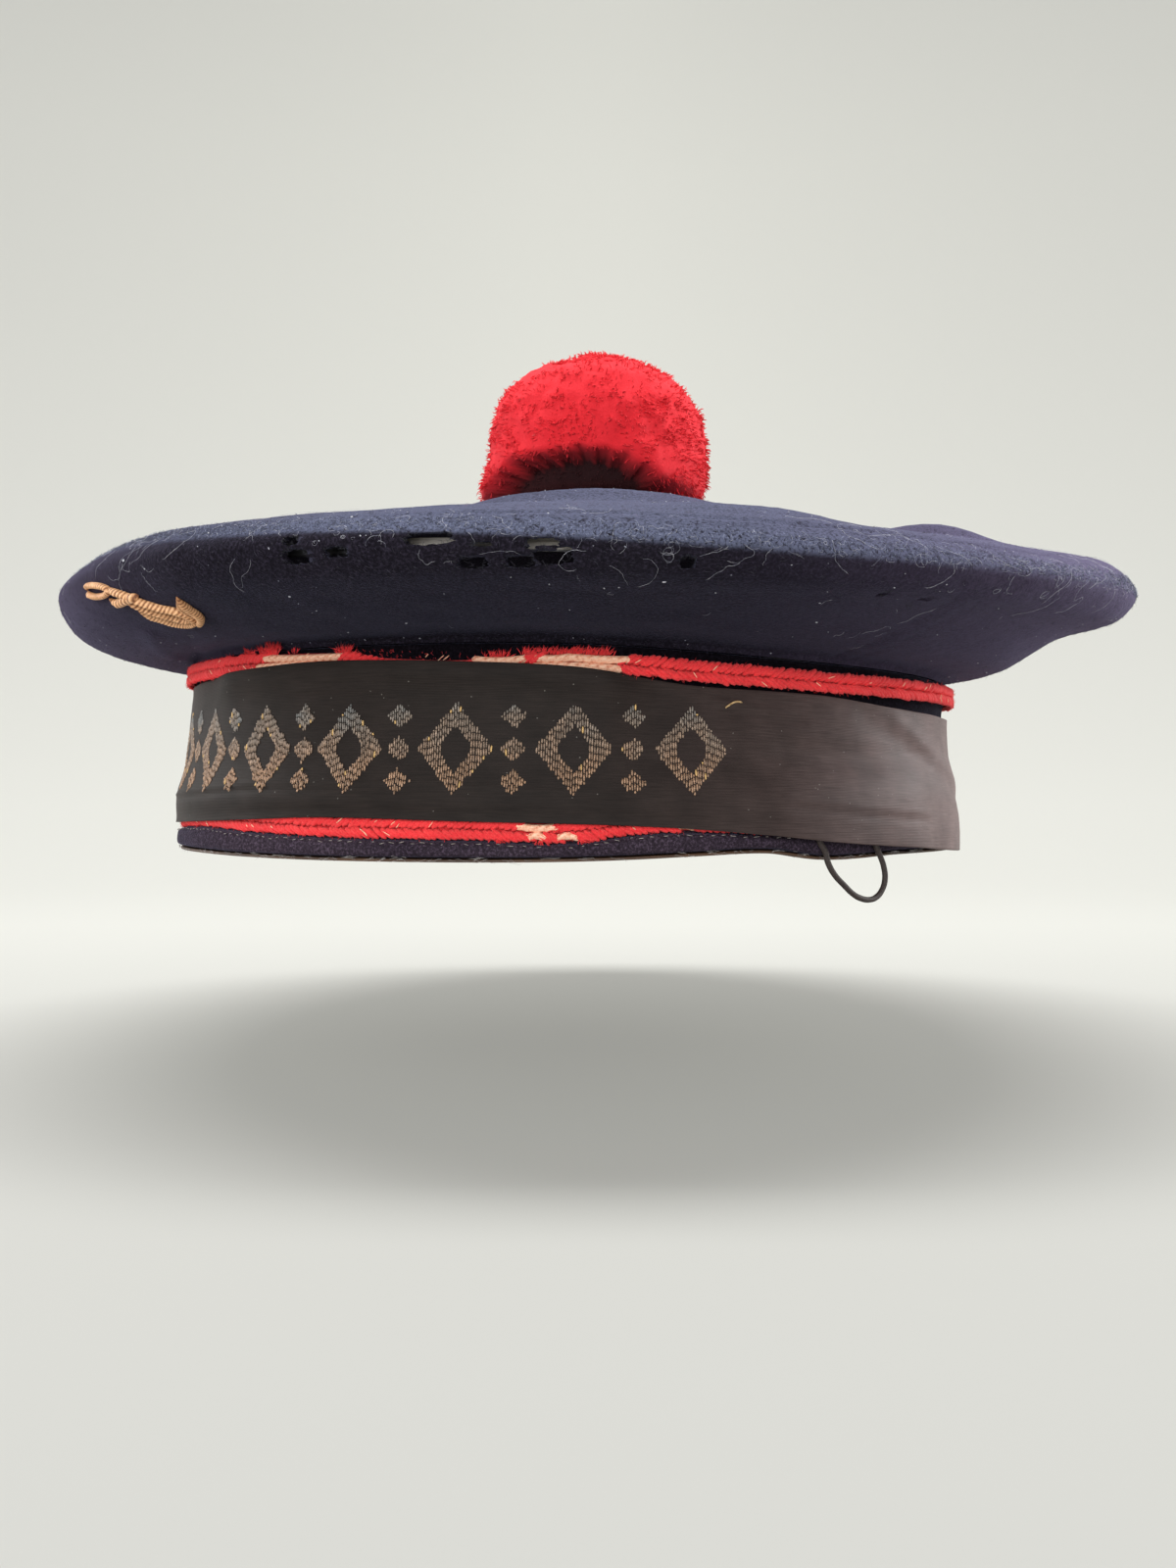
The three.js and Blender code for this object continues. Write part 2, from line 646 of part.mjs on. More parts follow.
const navyWool = { color: 0x23222e, roughness: 0.95, metalness: 0 };
const redWool = { color: 0xc2242b, roughness: 0.9, metalness: 0 };

const pieces = {
  crown: [makeCrown(), navyWool],
  hoop: [ringOf(hoopSection), { color: 0xa59b90, roughness: 0.5, metalness: 0.2 }],
  band: [ringOf(bandSection), navyWool],
  sweatband: [ringOf(sweatbandSection), { color: 0x2b211c, roughness: 0.6, metalness: 0 }],
  soutache_upper: [ringOf(braidSection('highBraid', headOut)), redWool],
  soutache_lower: [ringOf(braidSection('lowBraid', 0)), redWool],
  tally_ribbon: [ringOf(ribbonSection), { color: 0x2d2a28, roughness: 0.75, metalness: 0 }],
  pompom: [ringOf(pompomSection, 24), redWool],
  anchor_badge: [makeBadge(), { color: 0xcd9b64, roughness: 0.6, metalness: 0.2 }],
  chin_elastic: [makeHangingLoop(), { color: 0x3c3230, roughness: 0.8, metalness: 0 }],
  chin_elastic_stowed: [makeStowedElastic(), { color: 0x3c3230, roughness: 0.8, metalness: 0 }],
};

const cap = new THREE.Group();
for (const [name, [geometry, finish]] of Object.entries(pieces)) {
  const mesh = new THREE.Mesh(geometry, new THREE.MeshStandardMaterial(finish));
  mesh.name = name;
  cap.add(mesh);
}

export default cap;
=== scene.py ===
import json
import math
import random

import bpy
import numpy as np
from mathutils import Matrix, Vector, noise
from mathutils.kdtree import KDTree

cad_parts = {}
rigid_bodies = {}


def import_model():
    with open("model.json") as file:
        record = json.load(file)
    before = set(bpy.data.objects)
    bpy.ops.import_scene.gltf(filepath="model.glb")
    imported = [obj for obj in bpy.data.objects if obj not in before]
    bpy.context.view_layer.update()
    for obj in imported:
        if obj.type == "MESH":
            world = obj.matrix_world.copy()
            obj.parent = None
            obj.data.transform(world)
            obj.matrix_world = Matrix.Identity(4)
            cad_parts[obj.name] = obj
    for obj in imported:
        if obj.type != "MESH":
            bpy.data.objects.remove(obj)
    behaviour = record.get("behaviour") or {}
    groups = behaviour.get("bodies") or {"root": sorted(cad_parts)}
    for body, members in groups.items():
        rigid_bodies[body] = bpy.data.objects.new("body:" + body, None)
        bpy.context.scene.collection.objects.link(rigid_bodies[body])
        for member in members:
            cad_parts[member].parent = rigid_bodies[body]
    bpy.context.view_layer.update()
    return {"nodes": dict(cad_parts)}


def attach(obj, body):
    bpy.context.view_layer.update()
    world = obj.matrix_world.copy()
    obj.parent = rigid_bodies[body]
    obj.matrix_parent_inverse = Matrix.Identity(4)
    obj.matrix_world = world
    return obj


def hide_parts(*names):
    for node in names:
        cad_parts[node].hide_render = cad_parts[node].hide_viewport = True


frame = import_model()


# ---------- camera ----------
# It stands a forearm away on the wearer's left, level with the band, and looks straight across the cap.

bpy.ops.object.camera_add(location=(0.362, 0.0052, 0.0155), rotation=(math.pi / 2, 0, math.pi / 2))
camera = bpy.context.object
camera.data.lens = 31.43
camera.data.shift_y = 0.0019
camera.data.clip_start = 0.005
bpy.context.scene.camera = camera


# ---------- chin elastic ----------
# One length of thin round elastic in a dark brown thread cover. It is stowed flat round the band under the
# ribbon, behind the back and the front, and only one loop has slipped out below the ribbon's lower edge.

MM = 0.001
BAND_HEIGHT = 45
HALF_WIDTH, HALF_LENGTH, MIDDLE = 82.2, 97.1, -0.5  # at the foot; the head is narrower and further back


def on_band(angle, height, out):
    """Points on the outside of the band's wall: degrees from the wearer's left to the back, and millimetres."""
    angle, height, out = np.broadcast_arrays(*(np.asarray(v, float) for v in (angle, height, out)))
    share = height / BAND_HEIGHT
    turn = np.radians(angle)
    half_width = HALF_WIDTH - 2.0 * share + out
    half_length = HALF_LENGTH - 2.1 * share + out
    back = MIDDLE + 1.3 * share
    return MM * np.stack([half_width * np.cos(turn), back + half_length * np.sin(turn), height], -1)


ELASTIC_DIAMETER = 1.3
STOWED_HEIGHT, STOWED_OUT, STOWED_KNOTS = 12.4, 1.15, 49
elastic_loop = [  # direction, height, out from the band
    (29.4, 12.3, 1.6), (31.2, 11.3, 2.5), (32.3, 8.8, 3.2), (32.8, 6.2, 3.6), (33.0, 3.8, 3.6), (33.8, 1.9, 3.6),
    (34.3, -0.6, 3.6), (35.3, -3.1, 3.6), (37.0, -5.6, 3.6), (38.7, -7.7, 3.6), (40.2, -8.7, 3.6), (41.6, -9.0, 3.6),
    (42.9, -8.6, 3.6), (44.1, -7.2, 3.6), (44.8, -4.9, 3.6), (44.6, -2.1, 3.6), (43.8, 0.5, 3.6), (42.8, 3.2, 3.6),
    (42.4, 6.2, 3.6), (42.7, 8.8, 3.2), (44.1, 11.3, 2.5), (46.0, 12.3, 1.6),
]
stowed_from, stowed_to = 48.6, 27.6 + 360
stowed = [(angle, STOWED_HEIGHT, STOWED_OUT) for angle in np.linspace(stowed_from, stowed_to, STOWED_KNOTS)]
elastic_route = [on_band(*place) for place in stowed + elastic_loop]

elastic_curve = bpy.data.curves.new("chin_elastic", "CURVE")
elastic_curve.dimensions = "3D"
elastic_curve.bevel_depth = ELASTIC_DIAMETER / 2 * MM
elastic_curve.bevel_resolution = 3
elastic_curve.resolution_u = 6
elastic_curve.use_fill_caps = True
spline = elastic_curve.splines.new("BEZIER")
spline.bezier_points.add(len(elastic_route) - 1)
for knot, place in zip(spline.bezier_points, elastic_route):
    knot.co = place
    knot.handle_left_type = knot.handle_right_type = "AUTO"
chin_elastic = bpy.data.objects.new("chin_elastic_cord", elastic_curve)
bpy.context.scene.collection.objects.link(chin_elastic)


class Surface:
    """A material in the making: short ways to add nodes, which give back a socket, and to set its shader."""

    def __init__(self, name):
        self.material = bpy.data.materials.new(name)
        self.material.use_nodes = True
        self.tree = self.material.node_tree
        self.shader = self.tree.nodes["Principled BSDF"].inputs
        self.place = self.node("TexCoord", output="Object")

    def put(self, value, socket):
        if isinstance(value, bpy.types.NodeSocket):
            self.tree.links.new(value, socket)
        else:
            socket.default_value = (*value, 1) if socket.type == "RGBA" else value

    def node(self, kind, inputs=(), output=0, **settings):
        """Adds one node with its inputs and settings, and gives back one of its outputs."""
        made = self.tree.nodes.new("ShaderNode" + kind)
        for key, value in settings.items():
            setattr(made, key, value)
        for key, value in dict(inputs).items():
            self.put(value, made.inputs[key])
        return made.outputs[output]

    def noise(self, scale, detail, roughness=0.5, at=None, distortion=0.0):
        at = self.place if at is None else at
        inputs = {"Vector": at, "Scale": scale, "Detail": detail, "Roughness": roughness, "Distortion": distortion}
        return self.node("TexNoise", inputs)

    def combine(self, operation, *values, clamp=False):
        """A Math node over the values."""
        return self.node("Math", enumerate(values), operation=operation, use_clamp=clamp)

    def between(self, value, low, high, to_low=0.0, to_high=1.0):
        """How far a value is from low to high, as a number from one limit to the other."""
        inputs = {"Value": value, "From Min": low, "From Max": high, "To Min": to_low, "To Max": to_high}
        return self.node("MapRange", inputs)

    def read(self, name, output="Fac"):
        return self.node("Attribute", output=output, attribute_name=name)

    def ramp(self, value, *stops):
        """A colour ramp over a value: stops are (position, (r, g, b)), or (position, grey)."""
        colour = self.node("ValToRGB", {"Fac": value})
        steps = colour.node.color_ramp.elements
        while len(steps) < len(stops):
            steps.new(0.5)
        for step, (position, shade) in zip(steps, stops):
            step.position = position
            step.color = (*(shade if isinstance(shade, tuple) else (shade,) * 3), 1)
        return colour

    def mix(self, first, second, factor=1.0, blend_type="MULTIPLY"):
        """Two colours mixed: each is a socket or (r, g, b)."""
        return self.node("Mix", {0: factor, 6: first, 7: second}, 2, data_type="RGBA", blend_type=blend_type)

    def shade(self, colour, bump=None, roughness=0.5, specular=0.5, sheen=(0.0, 0.5, (1, 1, 1)), metallic=0.0):
        """Sets the shader: bump is (height, strength, distance) and sheen (weight, roughness, (r, g, b))."""
        if bump:
            relief = self.node("Bump", dict(zip(("Height", "Strength", "Distance"), bump)))
            self.put(relief, self.shader["Normal"])
        names = "Base Color", "Roughness", "Specular IOR Level", "Metallic"
        names += "Sheen Weight", "Sheen Roughness", "Sheen Tint"
        for name, value in zip(names, (colour, roughness, specular, metallic, *sheen)):
            self.put(value, self.shader[name])
        return self.material


def paint_thread(name, dark, light, scale=2500.0, roughness=0.75, detail=3.0, coarse=0.65, lit=0.72, depth=0.0001):
    """Spun thread: fine uneven tone and a little relief."""
    thread = Surface(name)
    fibres = thread.noise(scale, detail, coarse)
    return thread.shade(thread.ramp(fibres, (0.3, dark), (lit, light)), (fibres, 0.5, depth), roughness)


elastic_curve.materials.append(
    paint_thread("brown_elastic", (0.012, 0.008, 0.007), (0.045, 0.030, 0.027), 2600, 0.7, 2, 0.6, 0.7, 0.00015)
)
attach(chin_elastic, "root")
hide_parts("chin_elastic", "chin_elastic_stowed")


# ---------- band ----------
# The upright wall that sits on the head: navy wool cloth, folded up at the foot into a thick soft hem that is
# caught down with pale stitches, and turned in at the head under the seam of the crown.

band_rows = np.array([  # direction, rim, lower braid, ribbon's foot and head, upper braid, seam
    (-135, 0, 7.2, 6, 39, 42, 44.9), (-90, 0.1, 7.3, 6.3, 40.1, 42.8, 45.5), (-60, 0.2, 8.7, 7.5, 40.4, 42.8, 45.5),
    (-45, 0, 7.9, 8.3, 41.5, 42.8, 45.6), (-30, -0.1, 7.1, 9.1, 42.1, 42.1, 45.5), (-10, 0, 6.8, 8.4, 41, 40.5, 45.3),
    (1, 0.2, 6.3, 8, 39.9, 40.9, 45), (9, 0.6, 8, 7.5, 38, 40.3, 44.4), (16, 1.1, 8.4, 6.8, 36.4, 39.3, 43.8),
    (26, 1.5, 7.9, 5.3, 35.7, 38.5, 42.9), (35, -0.2, 7.5, 3.7, 35.1, 37.9, 42.3), (50, 0.3, 7.2, 2, 33.2, 37.6, 41.6),
    (76, 0, 7, -0.2, 32.2, 37.6, 40.8), (105, 0, 7, 0.8, 33.6, 37.8, 40.8), (145, 0, 7, 3.2, 35.4, 38.8, 41.9),
    (185, 0, 7.1, 5, 37.3, 40.6, 43.6),
])
RIM, LOW_BRAID, RIBBON_FOOT, RIBBON_HEAD, HIGH_BRAID, SEAM = range(1, 7)


def wrap(angle, lowest=-180):
    """Directions brought into the turn that begins at the lowest."""
    return (np.asarray(angle, float) - lowest) % 360 + lowest


def around(rows, column, angle):
    """One column of a table at each direction, on a smooth curve that closes round the head."""
    at = np.concatenate([rows[:, 0] + lap for lap in (-360, 0, 360)])
    values = np.tile(rows[:, column], 3)
    angle = wrap(angle, rows[0, 0])
    i = np.searchsorted(at, angle, side="right") - 1
    span = at[i + 1] - at[i]
    start = (values[i + 1] - values[i - 1]) / (at[i + 1] - at[i - 1]) * span
    end = (values[i + 2] - values[i]) / (at[i + 2] - at[i]) * span
    t = (angle - at[i]) / span
    return (
        (2 * t**3 - 3 * t**2 + 1) * values[i]
        + (t**3 - 2 * t**2 + t) * start
        + (3 * t**2 - 2 * t**3) * values[i + 1]
        + (t**3 - t**2) * end
    )


def deselect_all():
    bpy.ops.object.select_all(action="DESELECT")


def edit_all(**steps):
    """Runs mesh operators, in order, on the whole of the active piece."""
    bpy.ops.object.mode_set(mode="EDIT")
    bpy.ops.mesh.select_all(action="SELECT")
    for operator, settings in steps.items():
        getattr(bpy.ops.mesh, operator)(**settings)
    bpy.ops.object.mode_set(mode="OBJECT")


def name_piece(piece, name):
    piece.name = piece.data.name = name
    return piece


def set_points(piece, points):
    piece.data.vertices.foreach_set("co", points.reshape(-1).astype(np.float32))
    piece.data.update()


def make_grid(name, rows):
    """A grid with its points moved to rows."""
    deselect_all()
    bpy.ops.mesh.primitive_grid_add(x_subdivisions=rows.shape[1] - 1, y_subdivisions=rows.shape[0] - 1, size=1)
    grid = name_piece(bpy.context.object, name)
    set_points(grid, rows)
    return grid


def make_ring(name, sections):
    """A closed ring: a grid whose rows are moved to sections at even steps round the head, then joined up."""
    closed = np.concatenate([sections, sections[:1]])
    ring = make_grid(name, np.concatenate([closed, closed[:, :1]], 1))
    edit_all(remove_doubles={"threshold": 1e-7}, normals_make_consistent={"inside": False})
    bpy.ops.object.shade_smooth()
    return ring


def grain(points, scale, seed):
    """Smooth noise between -1 and 1 at each point, over lumps of about 1 / scale."""
    shift = Vector((seed * 3.1, seed * 1.7, seed * 2.3))
    values = [noise.noise(Vector(point) * scale + shift) for point in points.reshape(-1, 3)]
    return np.array(values).reshape(points.shape[:-1])


directions = np.arange(0, 360, 1.0)


def round_the_band(outline, count):
    """A ring's points round the band, from a cross-section with corners (height, out) that is rounded off."""
    corners = np.stack([np.stack(np.broadcast_arrays(*corner, directions)[:2], -1) for corner in outline], 1)
    total = corners.shape[1]
    place = np.arange(count) * total / count
    i = place.astype(int)
    t = (place - i)[None, :, None]
    p0, p1, p2, p3 = (corners[:, (i + k) % total] for k in (-1, 0, 1, 2))
    inner = (3 * t**3 - 6 * t**2 + 4) * p1 + (-3 * t**3 + 3 * t**2 + 3 * t + 1) * p2
    profile = ((1 - t) ** 3 * p0 + inner + t**3 * p3) / 6
    return on_band(directions[:, None], profile[..., 0], profile[..., 1])


def unit(vectors):
    return vectors / np.maximum(np.linalg.norm(vectors, axis=-1, keepdims=True), 1e-12)


HEM_OUT, HEAD_OUT, CLOTH = 2.6, 1.2, 2.0
rim = around(band_rows, RIM, directions)
hem_foot = rim + 1.0
hem_top = around(band_rows, LOW_BRAID, directions) - 2.6
braid_foot = around(band_rows, HIGH_BRAID, directions) - 2.2
band_head = around(band_rows, SEAM, directions) - 0.05
band_points = round_the_band([
    (hem_foot + 0.1, HEM_OUT - 0.9), (hem_foot + 0.3, HEM_OUT + 0.1), ((hem_foot + hem_top) / 2, HEM_OUT + 0.3),
    (hem_top - 0.2, HEM_OUT + 0.1), (hem_top + 0.1, HEM_OUT - 1.4), (hem_top + 0.3, 0), (hem_top + 4, 0),
    ((hem_top + braid_foot) / 2, 0), (braid_foot - 2, 0), (braid_foot + 1.2, HEAD_OUT),
    (band_head - 0.4, HEAD_OUT + 0.1), (band_head, HEAD_OUT - 0.5), (band_head, HEAD_OUT - CLOTH),
    (braid_foot - 1.4, -CLOTH), (hem_foot + 8, -CLOTH), (hem_foot, -CLOTH), (hem_foot - 0.1, 0),
], 51)
outwards = unit(on_band(directions, 0, 1) - on_band(directions, 0, 0))
fulling = 0.00010 * grain(band_points, 900, 1) + 0.00018 * grain(band_points, 160, 2)
band_points += fulling[..., None] * outwards[:, None]
band = make_ring("band_cloth", band_points)


def smoothstep(value, low, high):
    share = np.clip((value - low) / (high - low), 0, 1)
    return share * share * (3 - 2 * share)


def paint_navy_wool(name, worn, tint):
    """Dense fulled wool, near black, with a bluish bloom of nap. On the crown it is pale along the worn fold and over
    the top, where the pale is a painted sheen, and purple towards the ends, also a painted sheen. On the band it
    darkens towards its head as painted shade under the crown.
    """
    wool = Surface(name)
    nap = wool.noise(1700, 5, 0.75)
    fibres = wool.noise(520, 4, distortion=3.0)
    patches = wool.noise(38, 5, 0.62)
    shades = ((0.30, (0.0024, 0.0023, 0.0032)), (0.50, (0.0058, 0.0055, 0.0078)), (0.70, (0.0190, 0.0180, 0.0262)))
    colour = wool.ramp(nap, *((at, tuple(a * b for a, b in zip(tint, rgb))) for at, rgb in shades))
    colour = wool.mix(colour, wool.ramp(patches, (0.3, (0.62, 0.62, 0.66)), (0.72, 1.0)))
    if worn:
        # The pale colour is worn nap along the fold and a painted sheen over the top; the purple one is a painted sheen
        # towards the ends.
        worn_through = wool.combine("MULTIPLY_ADD", wool.combine("MULTIPLY", fibres, nap), 8.0, -1.15, clamp=True)
        pale = wool.combine("MULTIPLY", wool.read("wear_and_sheen"), worn_through, clamp=True)
        colour = wool.mix(colour, (0.118, 0.132, 0.205), pale, "MIX")
        painted_sheen_share = wool.combine("MULTIPLY", wool.read("painted_sheen"), wool.combine("MULTIPLY", fibres, 1.8), clamp=True)
        colour = wool.mix(colour, (0.110, 0.085, 0.150), painted_sheen_share, "MIX")
    else:
        # Painted shade: the band darkens towards its head, under the overhanging crown.
        upper = wool.between(wool.node("SeparateXYZ", {0: wool.place}, "Z"), 0.014, 0.034)
        colour = wool.mix(colour, wool.ramp(upper, (0.0, 1.0), (1.0, (0.16, 0.17, 0.18))))
    bump = (wool.combine("ADD", nap, fibres), 0.55, 0.00035)
    return wool.shade(colour, bump, 0.95, 0.03, (0.13, 0.26, (0.62, 0.64, 1.0)))


def finish(piece, material, replaces=()):
    """Gives a piece its material and its place in the model."""
    piece.data.materials.clear()
    piece.data.materials.append(material)
    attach(piece, "root")
    if replaces:
        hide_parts(*replaces)


# The band's copy of the wool is tinted lighter than the crown's, as painted light for the lit hem.
finish(band, paint_navy_wool("navy_wool_band", False, (6.8, 5.2, 5.2)), ["band"])


def vertex_places(piece):
    places = np.empty(len(piece.data.vertices) * 3, np.float32)
    piece.data.vertices.foreach_get("co", places)
    return places.reshape(-1, 3).astype(float)


def write_attribute(piece, name, values):
    """One number, or one vector, for each vertex."""
    values = np.asarray(values, np.float32)
    kind, field = ("FLOAT", "value") if values.ndim == 1 else ("FLOAT_VECTOR", "vector")
    piece.data.attributes.new(name, kind, "POINT").data.foreach_set(field, values.reshape(-1))


def mesh_of_copies(name, shape_faces, places):
    """One mesh of many copies of a small shape: places holds every copy's own points."""
    copies, size = places.shape[:2]
    corners = np.array([corner for face in shape_faces for corner in face])
    starts = np.cumsum([0] + [len(face) for face in shape_faces[:-1]])
    corner_of = corners + size * np.arange(copies)[:, None]
    start_of = starts + len(corners) * np.arange(copies)[:, None]
    mesh = bpy.data.meshes.new(name)
    mesh.vertices.add(copies * size)
    mesh.vertices.foreach_set("co", places.reshape(-1).astype(np.float32))
    mesh.loops.add(copies * len(corners))
    mesh.loops.foreach_set("vertex_index", corner_of.reshape(-1).astype(np.int32))
    mesh.polygons.add(copies * len(starts))
    mesh.polygons.foreach_set("loop_start", start_of.reshape(-1).astype(np.int32))
    mesh.update(calc_edges=True)
    mesh.shade_smooth()
    piece = bpy.data.objects.new(name, mesh)
    bpy.context.scene.collection.objects.link(piece)
    return piece


def frames_on_band(angle, height, out):
    """Places on the band, with the directions along it, up it and out of it."""
    place = on_band(angle, height, out)
    along = unit(on_band(np.asarray(angle) + 0.5, height, out) - on_band(np.asarray(angle) - 0.5, height, out))
    up = np.zeros_like(along) + (0, 0, 1)
    return place, along, up, np.cross(along, up)


def small_pillow(segments, rings, squareness=1.0):
    """A rounded pillow of half-size 1 as points and faces, low enough in faces to be repeated many times."""
    deselect_all()
    bpy.ops.mesh.primitive_uv_sphere_add(segments=segments, ring_count=rings, radius=1)
    pillow = bpy.context.object
    bpy.ops.transform.rotate(value=math.pi / 2, orient_axis="Y", center_override=(0, 0, 0))
    bpy.ops.object.transform_apply(location=False, rotation=True, scale=False)
    points = vertex_places(pillow)
    faces = [tuple(polygon.vertices) for polygon in pillow.data.polygons]
    bpy.data.objects.remove(pillow)
    return np.sign(points) * np.abs(points) ** squareness, faces


def leaned(frames, slope):
    """Frames turned in their own plane, so that along leans towards up by a slope."""
    place, along, up, out = frames
    slope = np.reshape(slope, (-1, 1))
    return place, unit(along + slope * up), unit(up - slope * along), out


def lay_pillows(name, pillow, frames, *half_sizes):
    """Copies of a pillow, each with its half-sizes along its own frame."""
    points, faces = pillow
    place, *ways = frames
    sizes = [np.broadcast_to(size, len(place))[:, None, None] for size in half_sizes]
    places = place[:, None] + sum(
        size * MM * points[None, :, i, None] * way[:, None] for i, (size, way) in enumerate(zip(sizes, ways))
    )
    piece = mesh_of_copies(name, faces, places)
    write_attribute(piece, "within", np.tile(points, (len(place), 1)))
    return piece


def make_strands(name, paths, thickness):
    """Thin three-sided threads along paths (strand, point, xyz), each with a closed root and a pointed tip."""
    count, steps = paths.shape[:2]
    ways = unit(np.gradient(paths, axis=1))
    side = unit(np.cross(ways, np.where(np.abs(ways[..., 2:]) > 0.9, (1.0, 0, 0), (0, 0, 1.0))))
    other = np.cross(ways, side)
    radius = (np.broadcast_to(thickness, count)[:, None, None, None]) * MM / 2
    turns = np.array([0, 2, 4]) * math.pi / 3
    rings = paths[:, :-1, None] + radius * (
        np.cos(turns)[:, None] * side[:, :-1, None] + np.sin(turns)[:, None] * other[:, :-1, None]
    )
    points = np.concatenate([rings.reshape(count, -1, 3), paths[:, -1:]], 1)
    tip, last = 3 * (steps - 1), 3 * (steps - 2)
    sides = [(0, 1), (1, 2), (2, 0)]
    faces = [(2, 1, 0)]
    faces += [(row + i, row + j, row + 3 + j, row + 3 + i) for row in range(0, last, 3) for i, j in sides]
    faces += [(last + i, last + j, tip) for i, j in sides]
    piece = mesh_of_copies(name, faces, points)
    share = np.append(np.repeat(np.arange(steps - 1) / (steps - 1), 3), 1.0)
    write_attribute(piece, "share", np.tile(share, count))
    return piece


dice = np.random.default_rng(11)
stitch = small_pillow(6, 4)

# Pale thread stitches that catch the hem down, just below the lower braid.
stitch_angles = np.cumsum(dice.uniform(1.15, 1.75, 250))
stitch_angles = stitch_angles[stitch_angles < 359]
stitch_height = around(band_rows, LOW_BRAID, stitch_angles) - 2.95 + dice.normal(0, 0.12, len(stitch_angles))
frames = frames_on_band(stitch_angles, stitch_height, HEM_OUT + 0.22)
frames = leaned(frames, dice.normal(0.0, 0.18, len(stitch_angles)))
hem_stitches = lay_pillows("hem_stitches", stitch, frames, dice.uniform(0.25, 0.75, len(stitch_angles)), 0.09, 0.12)
finish(hem_stitches, paint_thread("hem_thread", (0.10, 0.09, 0.09), (0.42, 0.38, 0.36)))


# ---------- sweatband ----------
# A strip of thin brown leather inside the band. Its lower edge turns out under the hem, where it shows as a
# dark line, and pale fibres have come loose along it.

LEATHER_BACK = -CLOTH - 0.3
LEATHER_FACE = LEATHER_BACK - 1.2
LEATHER_HEIGHT = 36
lip = HEM_OUT - 0.8
leather_points = round_the_band([
    (rim + 0.05, lip - 0.3), (rim + 0.05, lip), (rim + 0.66, lip), (rim + 0.7, lip - 0.4), (rim + 0.7, -0.5),
    (rim + 0.7, LEATHER_BACK + 0.1), (rim + 1.4, LEATHER_BACK), (rim + 9, LEATHER_BACK), (rim + 26, LEATHER_BACK),
    (LEATHER_HEIGHT - 0.4, LEATHER_BACK), (LEATHER_HEIGHT, LEATHER_BACK - 0.3), (LEATHER_HEIGHT, LEATHER_FACE + 0.3),
    (LEATHER_HEIGHT - 0.4, LEATHER_FACE), (rim + 26, LEATHER_FACE), (rim + 9, LEATHER_FACE), (rim + 0.6, LEATHER_FACE),
    (rim + 0.05, LEATHER_FACE + 0.4),
], 34)
leather_points += (0.00010 * grain(leather_points, 220, 6))[..., None] * outwards[:, None]
sweatband = make_ring("sweatband_leather", leather_points)


def paint_leather():
    """Old brown leather: fine pores, darker blotches where a head has rested, a dull shine."""
    leather = Surface("brown_leather")
    pores = leather.node("TexVoronoi", {"Vector": leather.place, "Scale": 1400, "Randomness": 1})
    blotches = leather.noise(45, 6, 0.6)
    browns = (0.3, (0.030, 0.016, 0.010)), (0.55, (0.085, 0.042, 0.022)), (0.75, (0.150, 0.082, 0.045))
    return leather.shade(leather.ramp(blotches, *browns), (pores, 0.35, 0.0002), 0.55)


finish(sweatband, paint_leather(), ["sweatband"])

# The stitches that hold the leather to the cloth, inside along the foot.
stitch_angles = np.arange(0, 360, 1.8)
frames = frames_on_band(stitch_angles, around(band_rows, RIM, stitch_angles) + 3.2, LEATHER_FACE - 0.05)
sweatband_stitches = lay_pillows("sweatband_stitches", stitch, frames, 1.0, 0.22, 0.2)
finish(sweatband_stitches, paint_thread("sweatband_thread", (0.10, 0.07, 0.045), (0.30, 0.22, 0.15)))

# Loose pale fibres along the leather's edge.
count = 420
start_angle = dice.uniform(-180, 180, count)
length = dice.uniform(0.8, 3.2, count)
wander = np.cumsum(dice.normal(0, 0.35, (count, 5)), 1)
share = np.linspace(0, 1, 5)
path_angle = start_angle[:, None] + share * (length * dice.choice([-1, 1], count))[:, None] / 1.6
foot = around(band_rows, RIM, start_angle)[:, None]
path_height = foot + 0.75 + 0.4 * wander - share * dice.uniform(0, 0.5, count)[:, None]
fibre_paths = on_band(path_angle, path_height, lip + 0.35 + 0.1 * np.abs(wander))
edge_fibres = make_strands("edge_fibres", fibre_paths, dice.uniform(0.05, 0.09, count))
finish(edge_fibres, paint_thread("edge_lint", (0.22, 0.20, 0.20), (0.60, 0.56, 0.54)))


# ---------- crown ----------
# The soft round top, felted in one piece of navy wool with no seam: it spreads from the band, turns back on
# itself in a worn fold round the rim and rises to the pompom. Moths have eaten through the fold on the left.

